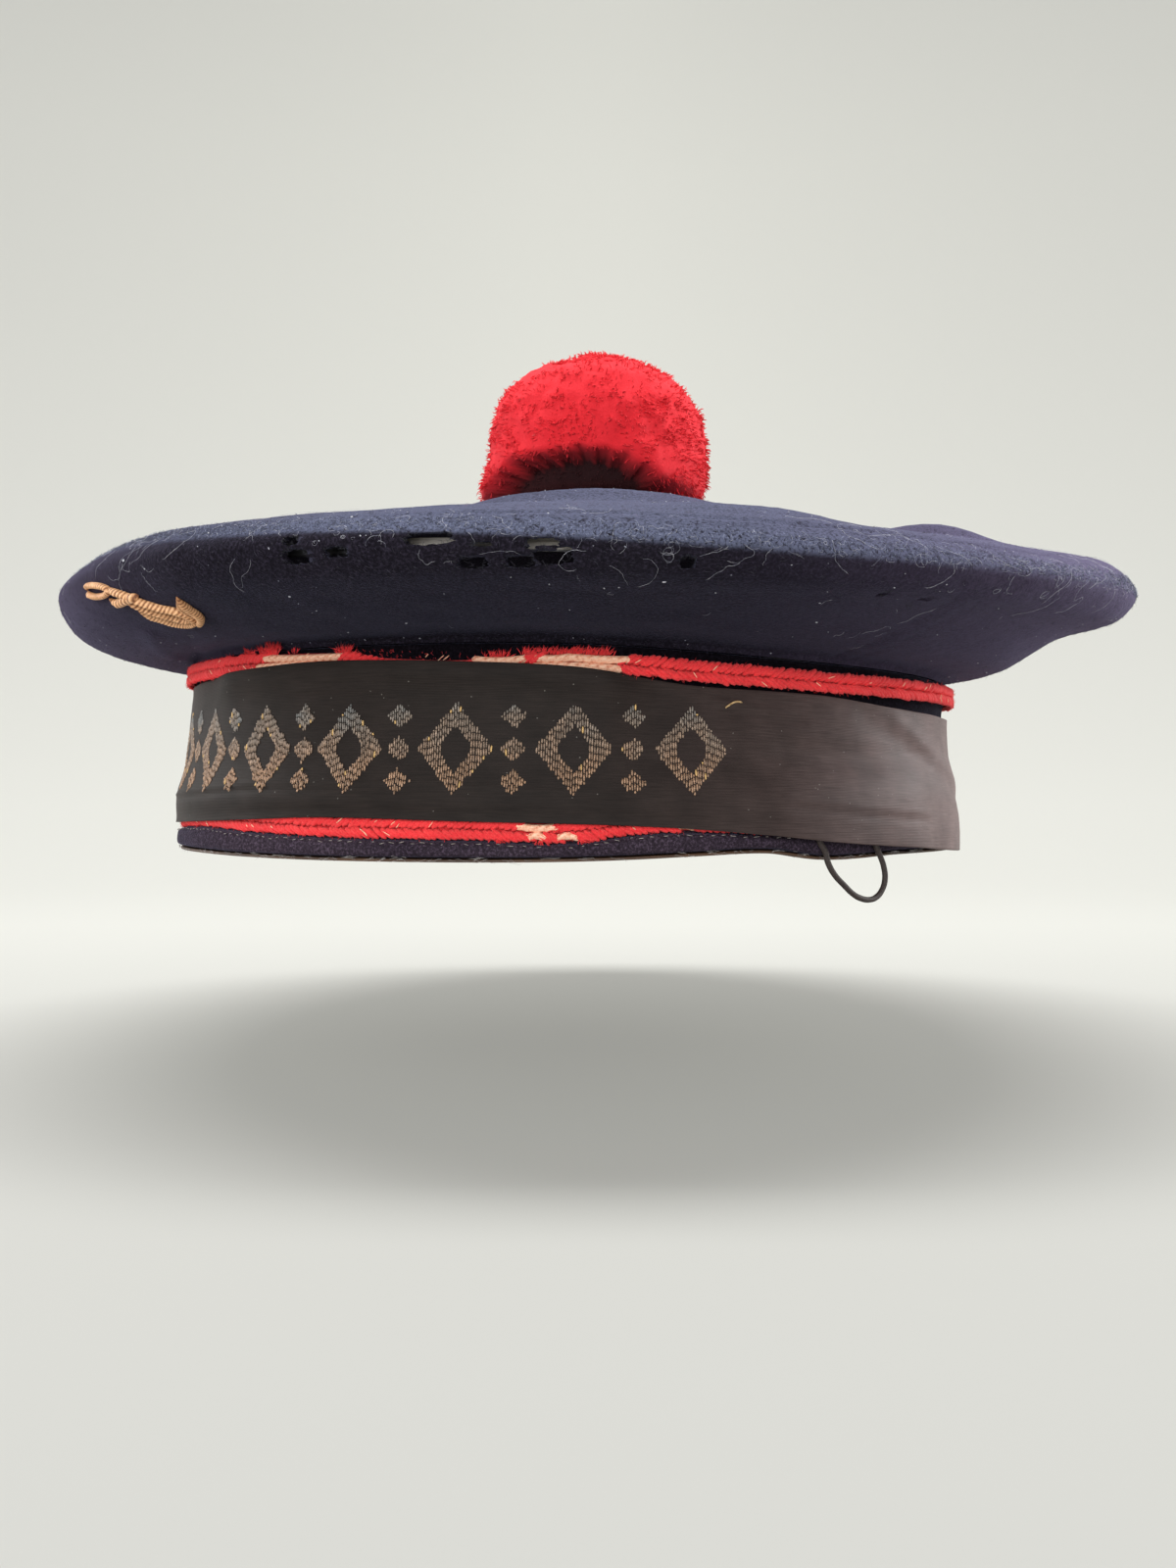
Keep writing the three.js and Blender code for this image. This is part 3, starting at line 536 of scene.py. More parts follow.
underside_rows = np.array([  # direction, then heights on the way from the seam to the rim
    (-135, 46.6, 49.8, 54, 59.8), (-90, 46.2, 48.6, 52.8, 59.6), (-75, 46.4, 48.5, 52.5, 59.3),
    (-60, 46.8, 49.0, 52.9, 59.2), (-45, 47.4, 50.2, 54, 59.6), (-25, 48, 50.6, 53.8, 58.6), (0, 48, 50.4, 53, 57.2),
    (25, 46.6, 49.3, 51.8, 56), (45, 44.8, 49.4, 52, 56.4), (60, 44.2, 50.4, 52.8, 57.8), (76, 44.4, 52.8, 55.2, 60),
    (92, 44.9, 54, 56.6, 60.8), (135, 46.4, 52.6, 55.4, 60), (180, 47.2, 50.8, 54.2, 59.2),
])
top_rows = np.array([  # direction, then heights on the way from the rim to the middle
    (-135, 66.4, 72.6, 78, 82.4, 87.7), (-90, 66.2, 75.2, 80.0, 83, 87.8), (-75, 65.4, 73.9, 79.2, 82.7, 87.8),
    (-60, 63.9, 70.6, 77.2, 82.3, 87.7), (-45, 64.6, 69.2, 75.2, 81.8, 87.6), (-25, 62.9, 67.4, 73.8, 81.5, 87.5),
    (0, 61.6, 66.4, 73.4, 81.3, 87.5), (25, 60.4, 65.6, 73, 81.2, 87.4), (45, 60.8, 65.8, 73.5, 81.5, 87.3),
    (60, 64, 68.2, 75.0, 82.0, 87.4), (76, 66.6, 69.7, 75.6, 81.8, 87.6), (92, 66.3, 69.5, 75.6, 81.8, 87.7),
    (135, 65.6, 70.8, 77.2, 82.2, 87.6), (180, 64.6, 70.6, 77.2, 82, 87.6),
])
UNDERSIDE_SHARES = (0.32, 0.68, 0.92, 1)
TOP_SHARES = (0.965, 0.86, 0.64, 0.36, 0.24)
CROWN_RADIUS, CROWN_BACK, CROWN_TOP = 132.6, 7.5, 90
SEAM_OUT, NECK_OUT, NECK_UP = 1.2, 1.6, 1.2
LAST_STATION = 10.97  # just short of the middle, where all directions meet
CROWN_DEGREE, STATION = 2.3, 12  # millimetres of cloth along one degree of the rim, and along one station


def crown_outline(angle):
    """The crown's outside at each direction as 12 points in millimetres, from the seam to the middle of the top."""
    turn = np.radians(angle)
    seam_height = around(band_rows, SEAM, angle)
    seam = on_band(angle, seam_height, SEAM_OUT) / MM
    neck = on_band(angle, seam_height + NECK_UP, NECK_OUT) / MM
    radius = CROWN_RADIUS - 1.4 * np.exp(-(((angle % 360 - 88) / 14) ** 2))
    rim_point = np.stack([radius * np.cos(turn), CROWN_BACK + radius * np.sin(turn), 0 * turn], -1)
    centre = np.zeros_like(rim_point) + (0, CROWN_BACK, CROWN_TOP)
    points = [seam, neck]
    for start, rows, shares in ((seam, underside_rows, UNDERSIDE_SHARES), (centre, top_rows, TOP_SHARES)):
        for column, share in enumerate(shares, 1):
            point = start + (rim_point - start) * share
            point[..., 2] = around(rows, column, angle)
            points.append(point)
    return np.stack(points + [centre])


def crown_surface(angle, station):
    """Points of the crown's outside: station 0 is the seam, 5 the rim and 11 the middle of the top."""
    angle, station = np.broadcast_arrays(np.asarray(angle, float), np.asarray(station, float))
    outline = crown_outline(angle)
    outline = np.concatenate([[2 * outline[0] - outline[1]], outline, [2 * outline[-1] - outline[-2]]])
    i = np.clip(np.floor(station).astype(int), 0, 10)
    places = tuple(np.indices(angle.shape))
    p0, p1, p2, p3 = (outline[(i + k,) + places] for k in range(4))
    spans = (p1 - p0, p2 - p1, p3 - p2)
    d0, d1, d2 = (np.maximum((span**2).sum(-1), 1e-9)[..., None] ** 0.25 for span in spans)
    start = ((p1 - p0) / d0 - (p2 - p0) / (d0 + d1) + (p2 - p1) / d1) * d1
    end = ((p2 - p1) / d1 - (p3 - p1) / (d1 + d2) + (p3 - p2) / d2) * d1
    t = (station - i)[..., None]
    return p1 + start * t + (3 * (p2 - p1) - 2 * start - end) * t**2 + (2 * (p1 - p2) + start + end) * t**3


crown_folds = [  # from direction and station, to direction and station, width and rise in millimetres
    (62.0, 7.85, 63.5, 7.95, 4.5, 3.2), (50.0, 8.4, 68.0, 8.6, 6.0, -2.2), (37.5, 1.0, 31.0, 4.3, 1.2, -0.65),
    (39.2, 1.1, 32.6, 4.2, 1.0, 0.2), (40.5, 1.1, 34.0, 4.1, 1.3, -0.4), (-78.0, 1.0, -53.0, 2.7, 2.0, 0.7),
    (-70.0, 1.0, -48.0, 2.3, 1.8, -0.5), (10.0, 7.3, 20.0, 7.5, 6.0, 0.8), (27.0, 7.6, 44.0, 8.0, 8.0, -1.35),
    (4.0, 6.30, 34.0, 6.05, 0.9, -0.55), (34.0, 6.05, 56.0, 6.30, 0.9, -0.50), (-30.0, 6.15, 4.0, 6.30, 0.8, -0.30),
    (120.0, 7.0, 150.0, 9.0, 7.0, 1.2), (-150.0, 7.2, -118.0, 8.6, 6.0, -1.0), (200.0, 2.0, 214.0, 4.0, 2.5, -1.0),
]


def soft_folds(folds, angle, height, degree, step=1, tapered=False):
    """The rise of straight soft folds: one degree is so many millimetres along, and one of height so many up."""
    rise = np.zeros(np.broadcast(angle, height).shape)
    for from_angle, from_height, to_angle, to_height, width, lift in folds:
        x, y = (angle - from_angle) * degree, (height - from_height) * step
        way = np.array([(to_angle - from_angle) * degree, (to_height - from_height) * step])
        share = (x * way[0] + y * way[1]) / (way @ way)
        near = np.clip(share, 0, 1)
        away = np.hypot(x - near * way[0], y - near * way[1])
        taper = np.clip(np.minimum(share, 1 - share) * 5 + 0.6, 0, 1) if tapered else 1
        rise += lift * taper * np.exp(-((away / width) ** 2))
    return rise


def crown_place(angle, station, depth=0.0, rough=True):
    """Points in metres below the crown's finished surface by a depth, and the surface's outward normals."""
    angle, station = np.broadcast_arrays(np.asarray(angle, float), np.asarray(station, float))
    station = np.minimum(station, LAST_STATION)
    point = crown_surface(angle, station)
    sideways = crown_surface(angle + 0.5, station) - crown_surface(angle - 0.5, station)
    upwards = crown_surface(angle, np.minimum(station + 0.03, 11)) - crown_surface(angle, np.maximum(station - 0.03, 0))
    normal = np.cross(sideways, upwards)
    normal /= np.linalg.norm(normal, axis=-1, keepdims=True)
    rise = soft_folds(crown_folds, wrap(angle, -160), station, CROWN_DEGREE, STATION) - depth
    if rough:
        rise = rise + 0.10 * grain(point, 0.55, 3) + 0.22 * grain(point, 0.11, 4)
    return MM * (point + rise[..., None] * normal), normal


CROWN_CLOTH = 1.2
outside_stations = np.concatenate([
    np.linspace(0, 3, 22, endpoint=False), np.linspace(3, 7, 52, endpoint=False), np.linspace(7, LAST_STATION, 34),
])
inside_stations = np.concatenate([
    np.linspace(LAST_STATION, 6.4, 10, endpoint=False), np.linspace(6.4, 3.4, 16), np.linspace(3.1, 0, 6),
])
outside, _ = crown_place(directions[:, None], outside_stations[None])
inside, _ = crown_place(directions[:, None], inside_stations[None], CROWN_CLOTH, rough=False)
outside[:, -1] = outside[:, -1].mean(0)
inside[:, 0] = inside[:, 0].mean(0)
crown = make_ring("crown_felt", np.concatenate([outside, inside], 1))


def join_parts(parts, name):
    deselect_all()
    for part in parts:
        part.select_set(True)
    bpy.context.view_layer.objects.active = parts[0]
    bpy.ops.object.join()
    return name_piece(bpy.context.object, name)


moth_holes = [  # direction, height, width, height of the opening
    (-24.4, 58.9, 3.4, 1.7), (-24.2, 56.3, 5.6, 2.6), (-20.5, 56.5, 4.8, 1.9), (-12.8, 57.8, 9.0, 2.2),
    (-9.8, 54.0, 5.6, 1.9), (-8.8, 56.6, 3.6, 0.9), (-6.1, 54.0, 5.4, 1.9), (-4.3, 56.5, 5.8, 2.0),
    (-3.6, 54.8, 7.2, 2.8), (6.5, 53.8, 3.0, 2.0), (24.5, 50.6, 2.1, 0.6), (29.2, 50.1, 2.6, 1.1),
]
HOLE_IN, HOLE_THROUGH, HOLE_CORNERS = 4, 12, 44  # how far inside the rim, how deep, and how finely cut
cutters = []
ragged = random.Random(5)
for at, height, wide, tall in moth_holes:
    turn = math.radians(at)
    deselect_all()
    bpy.ops.mesh.primitive_cylinder_add(vertices=HOLE_CORNERS, radius=1, depth=1, end_fill_type="NGON")
    cutter = bpy.context.object
    nibbles = [(bites, depth, ragged.uniform(0, 6.3)) for bites, depth in ((5, 0.05), (9, 0.06), (14, 0.05))]
    for vertex in cutter.data.vertices:
        x, y, z = vertex.co
        bend = math.atan2(y, x)
        squared = (abs(x) ** 4 + abs(y) ** 4) ** -0.25
        edge = 0.47 * squared * (1 + sum(depth * math.sin(bites * bend + phase) for bites, depth, phase in nibbles))
        across, reach = edge * wide * x, CROWN_RADIUS - HOLE_IN + HOLE_THROUGH * z
        vertex.co = MM * Vector((
            reach * math.cos(turn) - across * math.sin(turn),
            CROWN_BACK + reach * math.sin(turn) + across * math.cos(turn),
            height + edge * tall * y,
        ))
    edit_all(normals_make_consistent={"inside": False})
    cutters.append(cutter)
cutter = join_parts(cutters, "moths")
bpy.context.view_layer.objects.active = crown
boolean = crown.modifiers.new("moths", "BOOLEAN")
boolean.object, boolean.operation, boolean.solver = cutter, "DIFFERENCE", "MANIFOLD"
bpy.ops.object.modifier_apply(modifier=boolean.name)
bpy.data.objects.remove(cutter)

wear_limit = np.array([  # direction, height where the worn nap of the fold ends
    (-135, 62.5), (-90, 63.6), (-50, 63.0), (-25, 60.8), (-10, 58.8), (0, 57.4), (18, 55.6), (35, 55.8), (60, 57.2),
    (88, 59.6), (135, 59.5), (180, 59.5),
])


def crown_wear_and_sheen(points):
    """How pale the cloth is at points in metres, from wear most along the fold of the rim and from a sheen painted over
    the top, and how much purple sheen is painted on towards both ends.
    """
    x, y, z = (points / MM).T
    angle = np.degrees(np.arctan2(y - CROWN_BACK, x))
    above = z - around(wear_limit, 1, angle)
    up = np.maximum(above, 0)
    blurred = 1 - smoothstep(np.abs(wrap(angle - 100)), 30, 78)
    fold = smoothstep(above, -0.9 - 3.2 * blurred, 0.5 + 1.2 * blurred)
    front_left = 1 - 0.6 * smoothstep(-angle, 16, 46) * np.exp(-((up / 14) ** 2))
    # Worn nap along the fold; the pale level kept over the whole top, weaker on the far side, is a painted sheen.
    wear_and_sheen = fold * front_left * (1 - 0.6 * smoothstep(-x, 22, 70)) * (0.52 + 0.36 * np.exp(-((up / 3.2) ** 2)))
    # Painted sheen: purple towards both ends, most near the rim and less on the far side.
    edge = smoothstep(np.hypot(x, y - CROWN_BACK), 84, 130)
    towards_back = (0.52 + 0.48 * edge) * (1 - smoothstep(np.abs(angle - 86), 4, 84))
    towards_front = 0.54 * (1 - smoothstep(np.abs(angle + 88), 12, 54))
    return wear_and_sheen, (towards_back + towards_front) * (1 - 0.7 * smoothstep(-x, 22, 80))


# The inside of the felt has neither the wear nor the painted sheens: each point belongs to the side whose own points
# are nearest.
places = vertex_places(crown)
samples = np.concatenate([outside.reshape(-1, 3), inside.reshape(-1, 3)])
nearest = KDTree(len(samples))
for index, sample in enumerate(samples):
    nearest.insert(sample, index)
nearest.balance()
on_outside = np.array([nearest.find(place)[1] < outside[..., 0].size for place in places])
for name, values in zip(("wear_and_sheen", "painted_sheen"), crown_wear_and_sheen(places)):
    write_attribute(crown, name, values * on_outside)
finish(crown, paint_navy_wool("navy_wool_crown", True, (2.35, 2.1, 2.25)), ["crown"])


def frames_on_crown(angle, station):
    """Places on the crown, with the directions along it, up it and out of it."""
    root, normal = crown_place(angle, station)
    sideways = unit(crown_place(angle + 0.4, station)[0] - root)
    return root, sideways, np.cross(normal, sideways), normal


# Nap raised by wear along the fold: short curled ends of wool, dense on the left.
nap_foot = np.array([  # direction, station where the worn nap begins
    (-135, 5.4), (-90, 5.65), (-50, 5.72), (-25, 5.50), (-10, 5.25), (0, 5.0), (18, 4.85), (35, 4.92), (60, 4.9),
    (90, 4.95), (135, 5.0), (180, 5.1),
])
count = 11500
angle = dice.uniform(-180, 180, count)
angle = np.where(dice.random(count) < 0.7, dice.uniform(-92, 92, count), angle)
station = around(nap_foot, 1, angle) + 0.62 * dice.random(count) ** 1.3 + np.abs(dice.normal(0, 0.10, count))
root, sideways, upwards, normal = frames_on_crown(angle, station)
heading = dice.uniform(0, 2 * math.pi, count)[:, None]
way = unit(np.cos(heading) * sideways + np.sin(heading) * upwards + dice.uniform(0.15, 0.9, count)[:, None] * normal)
turn = dice.normal(0, 0.9, (count, 3))
length = (dice.uniform(0.3, 1.0, count) * MM)[:, None]
nap_paths = [root - 0.15 * MM * normal, root + 0.55 * length * way, root + 0.85 * length * unit(way + 0.9 * turn)]
fold_nap = make_strands("fold_nap", np.stack(nap_paths, 1), dice.uniform(0.05, 0.085, count))
write_attribute(fold_nap, "chance", np.repeat(dice.random(count), len(fold_nap.data.vertices) // count))


def paint_lint(name, dark, light):
    """Loose fibres, each a little lighter or darker along its length."""
    lint = Surface(name)
    return lint.shade(lint.ramp(lint.noise(900, 2), (0.35, dark), (0.65, light)), None, 0.8)


def paint_worn_nap():
    """Ends of navy wool: most still dark, many bleached to a pale blue grey."""
    nap = Surface("worn_nap")
    share = nap.combine("MULTIPLY", nap.combine("MULTIPLY_ADD", nap.noise(300, 3), 0.8, nap.read("chance")), 0.6)
    stops = (0.25, (0.012, 0.014, 0.024)), (0.55, (0.060, 0.072, 0.115)), (0.85, (0.30, 0.33, 0.46))
    return nap.shade(nap.ramp(share, *stops), None, 0.8)


finish(fold_nap, paint_worn_nap())

# Short hairs of the nap all over the cloth, brushed down and back.
count = 4600
angle = np.where(dice.random(count) < 0.62, dice.uniform(-92, 92, count), dice.uniform(-180, 180, count))
station = np.where(dice.random(count) < 0.8, dice.uniform(0.4, 5.0, count), dice.uniform(5, 10.5, count))
root, sideways, upwards, normal = frames_on_crown(angle, station)
heading = np.radians(-18 + dice.normal(0, 32, count))[:, None]
way = unit(np.cos(heading) * sideways + np.sin(heading) * upwards + 0.18 * normal)
length = (dice.uniform(0.7, 2.0, count) * MM)[:, None]
tip_way = unit(way + dice.normal(0, 0.16, (count, 3)) - 0.12 * normal)
hair_paths = np.stack([root - 0.1 * MM * normal, root + 0.5 * length * way, root + length * tip_way], 1)
nap_hairs = make_strands("nap_hairs", hair_paths, dice.uniform(0.04, 0.07, count))
finish(nap_hairs, paint_lint("navy_hairs", (0.008, 0.008, 0.012), (0.055, 0.052, 0.078)))


def curled_threads(angle, station, length, curl, lift, steps=14):
    """Threads that lie on the crown: each wanders over it on a curling path."""
    count = len(angle)
    heading = dice.uniform(0, 2 * math.pi, count)
    bend = dice.normal(0, 1, count) * curl
    along, up = np.zeros((count, steps)), np.zeros((count, steps))
    for step in range(1, steps):
        heading = heading + bend + dice.normal(0, 0.28, count)
        along[:, step] = along[:, step - 1] + np.cos(heading) * length / steps
        up[:, step] = up[:, step - 1] + np.sin(heading) * length / steps
    path_angle = angle[:, None] + along / CROWN_DEGREE
    path_station = station[:, None] + up / np.where(station > 6, 14.0, 6.5)[:, None]
    height = lift[:, None] * (0.25 + np.abs(np.sin(np.linspace(0, 1, steps) * dice.uniform(3, 9, count)[:, None])))
    return crown_place(path_angle, path_station, -height)[0]


count = 620
angle = np.concatenate([dice.uniform(-88, 90, 460), dice.uniform(-180, 180, 160)])
on_fold = around(nap_foot, 1, angle) - 0.15 + np.abs(dice.normal(0, 0.55, count))
station = np.where(dice.random(count) < 0.86, on_fold, dice.uniform(1.5, 9.5, count))
length, lift = dice.uniform(1.0, 3.6, count), dice.uniform(0.1, 0.4, count)
fluff_paths = curled_threads(angle, station, length, 0.24, lift, steps=8)
lint_fluff = make_strands("lint_fluff", fluff_paths, dice.uniform(0.025, 0.042, count))
lint_spots = [  # direction, station, length, how tightly it curls
    (-2.0, 6.6, 9, 0.30), (-1.0, 6.3, 8, 0.45), (-12.5, 5.9, 7, 0.5), (-11.0, 5.8, 8, 0.6), (-8.5, 5.3, 7, 0.1),
    (1.0, 4.6, 9, 0.55), (3.2, 4.35, 11, 0.5), (4.8, 4.5, 10, 0.6), (5.4, 5.0, 7, 0.4), (9.5, 4.4, 9, 0.25),
    (10.5, 4.35, 7, 0.2), (-13.5, 4.6, 6, 0.3), (-16.5, 4.8, 7, 0.35), (-22.0, 5.0, 5, 0.6), (-30.0, 4.6, 9, 0.15),
    (-37.0, 5.9, 14, 0.10), (-41.0, 5.8, 13, 0.12), (-47.0, 5.8, 12, 0.08), (-52.0, 5.7, 12, 0.10),
    (-58.0, 5.6, 11, 0.10), (-62.0, 5.5, 12, 0.12), (-45.0, 4.7, 8, 0.55), (-40.0, 4.6, 5, 0.25), (19.5, 6.3, 13, 0.35),
    (21.0, 6.2, 12, 0.30), (22.5, 5.5, 13, 0.10), (24.0, 5.4, 12, 0.08), (28.5, 4.9, 9, 0.35), (30.5, 4.9, 10, 0.45),
    (32.5, 5.3, 7, 0.2), (36.0, 4.8, 10, 0.45), (38.0, 5.4, 7, 0.5), (40.0, 5.5, 9, 0.5), (43.5, 5.4, 12, 0.3),
    (46.0, 5.3, 12, 0.25), (44.0, 4.2, 8, 0.4), (41.0, 4.1, 9, 0.55), (37.0, 4.1, 7, 0.6), (48.0, 5.2, 12, 0.35),
    (52.0, 5.4, 14, 0.2), (56.0, 5.5, 14, 0.15), (60.0, 5.2, 12, 0.3), (66.0, 5.0, 14, 0.2), (70.0, 5.2, 13, 0.3),
    (33.0, 2.4, 6, 0.3),
]
spots = np.array(lint_spots)
spots = np.concatenate([spots, spots + dice.normal(0, (3.4, 0.22, 1.5, 0.06), spots.shape)])
angle, station, length, curl = spots.T
lint_paths = curled_threads(angle, station, 0.95 * length, 0.62 * curl, dice.uniform(0.1, 0.4, len(spots)))
lint_threads = make_strands("lint_threads", lint_paths, dice.uniform(0.035, 0.055, len(spots)))
pale_lint = paint_lint("pale_lint", (0.20, 0.21, 0.27), (0.62, 0.62, 0.68))
finish(lint_fluff, pale_lint)
finish(lint_threads, pale_lint)

# Specks of dust on the cloth.
count = 320
angle = np.concatenate([dice.uniform(-90, 90, 200), dice.uniform(-180, 180, 120)])
place, normal = crown_place(angle, dice.uniform(0.6, 10.5, count), -0.05)
along = unit(np.cross(normal, dice.normal(0, 1, (count, 3))))
size = dice.uniform(0.05, 0.16, count) * np.where(dice.random(count) < 0.06, 1.9, 1)
frames = (place, along, np.cross(normal, along), normal)
specks = lay_pillows("dust_specks", stitch, frames, size * dice.uniform(1, 2.2, count), size, size * 0.7)
finish(specks, pale_lint)

# Frayed ends round the moth holes.
fray = []
fold_stations = np.linspace(3.2, 5.8, 140)
for at, height, wide, tall in moth_holes:
    ends = int(8 + 3 * wide)
    bend = dice.uniform(0, 2 * math.pi, ends)
    angle = at + 0.5 * wide * np.cos(bend) / CROWN_DEGREE
    heights = crown_surface(angle[:, None], fold_stations[None])[..., 2]
    edge_height = height + 0.5 * tall * np.sin(bend)
    station = np.array([np.interp(wanted, row, fold_stations) for wanted, row in zip(edge_height, heights)])
    root, sideways, upwards, normal = frames_on_crown(angle, station)
    inwards = unit(-np.cos(bend)[:, None] * sideways - np.sin(bend)[:, None] * upwards + dice.normal(0, 0.5, (ends, 3)))
    reach = (dice.uniform(0.3, 1.1, ends) * MM)[:, None]
    curl = dice.normal(0, 0.5, (ends, 3))
    fray.append(np.stack([
        root - 0.4 * reach * inwards, root + 0.4 * reach * inwards + 0.2 * reach * normal,
        root + 0.75 * reach * unit(inwards + curl), root + reach * unit(inwards + 1.6 * curl),
    ], 1))
fray = np.concatenate(fray)
hole_fray = make_strands("moth_hole_fray", fray, dice.uniform(0.045, 0.08, len(fray)))
finish(hole_fray, paint_lint("frayed_wool", (0.006, 0.006, 0.009), (0.035, 0.036, 0.052)))


# ---------- hoop ----------
# A springy flat strip, drawn from stiff grey-beige sheet and slipped inside the fold to keep the crown round.
# Most of it is painted near black as shade inside the fold, and it shows only through the moth holes.


def paint_hoop():
    """Grey-beige strip with fine scratches along it, painted near black as shade inside the fold except behind the
    longest hole.
    """
    strip = Surface("stiffener_strip")
    drawn = strip.node("Mapping", {"Vector": strip.place, "Scale": (1.0, 1.0, 14.0)})
    scratches = strip.noise(160, 5, 0.65, drawn)
    bright = strip.ramp(scratches, (0.3, (0.18, 0.160, 0.138)), (0.7, (0.40, 0.365, 0.325)))
    height = strip.node("SeparateXYZ", {0: strip.place}, "Z")
    aside = strip.node("SeparateXYZ", {0: strip.place}, "Y")
    # Painted shade: below this height, and outside the patch behind the longest hole, the strip is painted near black.
    unshaded_from = strip.between(aside, -0.034, -0.030, 0.0620, 0.0570)
    lower = strip.between(aside, -0.012, -0.009, 0.0, 0.0009)
    over = strip.combine("SUBTRACT", strip.combine("ADD", height, lower), unshaded_from)
    colour = strip.mix((0.008, 0.008, 0.009), bright, strip.between(over, 0.0, 0.0003), "MIX")
    return strip.shade(colour, (scratches, 0.3, 0.0001), 0.45)


hoop = frame["nodes"]["hoop"]
hoop.data.materials.clear()
hoop.data.materials.append(paint_hoop())


# ---------- soutache braids ----------
# Two flat braids of red wool plaited over two pale cotton cords, so each shows two ribs with a groove between
# them. One is sewn on the seam under the crown and one above the hem. Moths have bared the pale cords on the left.

BRAID_HALF, BRAID_BACK, BRAID_FACE = 2.2, 0.35, 1.35  # half the width, and the distances out from the wall
LOBE_STEP = 0.82  # degrees from one plaited lobe to the next
RIB_MIDDLE, RIB_RISE = 1.14, 0.85
BACK_STREAKS = 700
braid_corners = [(-1.9, 0), (-1.9, 0.5), (-1.1, 0.95), (0, 0.5), (1.1, 0.95), (1.9, 0.5), (1.9, 0), (0, 0)]
bare_places = {  # for each braid and rib: directions from and to where the red wool is gone
    ("upper", 1): [(-42.6, -29.4), (-10.6, -5.2), (-3.2, 0.1), (0.6, 7.2)],
    ("upper", -1): [(-44.0, -27.0), (-10.6, 6.2)],
    ("lower", 1): [(-4.9, -1.1)],
    ("lower", -1): [(-3.4, -2.2), (0.0, 1.6), (14.3, 15.6)],
}
tuft_spots = {  # for each braid: direction, height from its middle, how many ends, and how long
    "upper": [
        (-46.8, 2.0, 26, 2.2), (-41.2, 1.8, 70, 3.8), (-43.5, 2.0, 30, 2.4), (-28.6, 1.6, 60, 2.6),
        (-37.3, 2.2, 10, 1.2), (-9.0, 1.8, 22, 1.6), (-7.6, 1.8, 26, 1.8), (-2.6, 2.2, 30, 1.6), (-4.6, 2.1, 34, 1.9),
    ],
    "lower": [
        (-7.5, -1.9, 24, 1.4), (-2.2, -2.0, 20, 1.2), (2.6, -2.0, 24, 1.5), (0.0, 0.0, 16, 1.1), (17.3, 0.5, 40, 2.0),
    ],
}


def braid_level(which, angle):
    return around(band_rows, HIGH_BRAID if which == "upper" else LOW_BRAID, angle)


def bared(which, rib, angle):
    """Whether the wool is gone at each direction."""
    turned = wrap(angle)
    return np.any([(turned > start) & (turned < end) for start, end in bare_places[which, rib]], axis=0)


def thinning(which, angle):
    """Where the upper braid has been worn thin and has sunk behind the ribbon, from 0 to 1."""
    return np.exp(-(((wrap(angle) + 18) / 8.5) ** 4)) * (which == "upper")


def arc_along(points):
    """The distance gone at each point of (..., point, coordinate)."""
    steps = np.linalg.norm(np.diff(points, axis=-2), axis=-1)
    return np.concatenate([0 * steps[..., :1], np.cumsum(steps, -1)], -1)


def make_tube(name, rings, attribute, values):
    """A closed tube through rings (step, side, xyz), with a number or a vector written at each point."""
    steps, sides = rings.shape[:2]
    last = (steps - 1) * sides
    edges = [(i, (i + 1) % sides) for i in range(sides)]
    faces = [tuple(range(sides))[::-1], tuple(range(last, last + sides))]
    faces += [(row + i, row + j, row + sides + j, row + sides + i) for row in range(0, last, sides) for i, j in edges]
    tube = mesh_of_copies(name, faces, rings.reshape(1, -1, 3))
    write_attribute(tube, attribute, values)
    return tube


CORD_RADIUS, CORD_STEP, CORD_TWIST, CORD_SIDES = 0.84, 0.22, 2.1, 10


def twisted_cord(name, runs):
    """Cords of three strands twisted together, along runs of (angle, height, out) on the band."""
    turns = np.arange(CORD_SIDES) * 2 * math.pi / CORD_SIDES
    parts = []
    for run in runs:
        arc = arc_along(on_band(*run.T)) / MM
        at = np.linspace(0, arc[-1], max(int(arc[-1] / CORD_STEP), 4))
        place, along, up, out = frames_on_band(*(np.interp(at, arc, column) for column in run.T))
        phase = 3 * turns - 2 * math.pi * at[:, None] / CORD_TWIST
        swell = 0.94 + 0.08 * np.abs(np.cos(phase / 2))
        ends = np.sqrt(np.clip(np.minimum(at, arc[-1] - at) / CORD_RADIUS, 0, 1) * 0.96 + 0.04)[:, None]
        size = (CORD_RADIUS * MM * swell * ends)[..., None]
        rings = place[:, None] + size * (np.cos(turns)[:, None] * out[:, None] + np.sin(turns)[:, None] * up[:, None])
        pattern = np.stack([np.broadcast_to(at[:, None], phase.shape), phase, 0 * phase], -1)
        parts.append(make_tube(name, rings, "within", pattern.reshape(-1, 3)))
    return join_parts(parts, name)


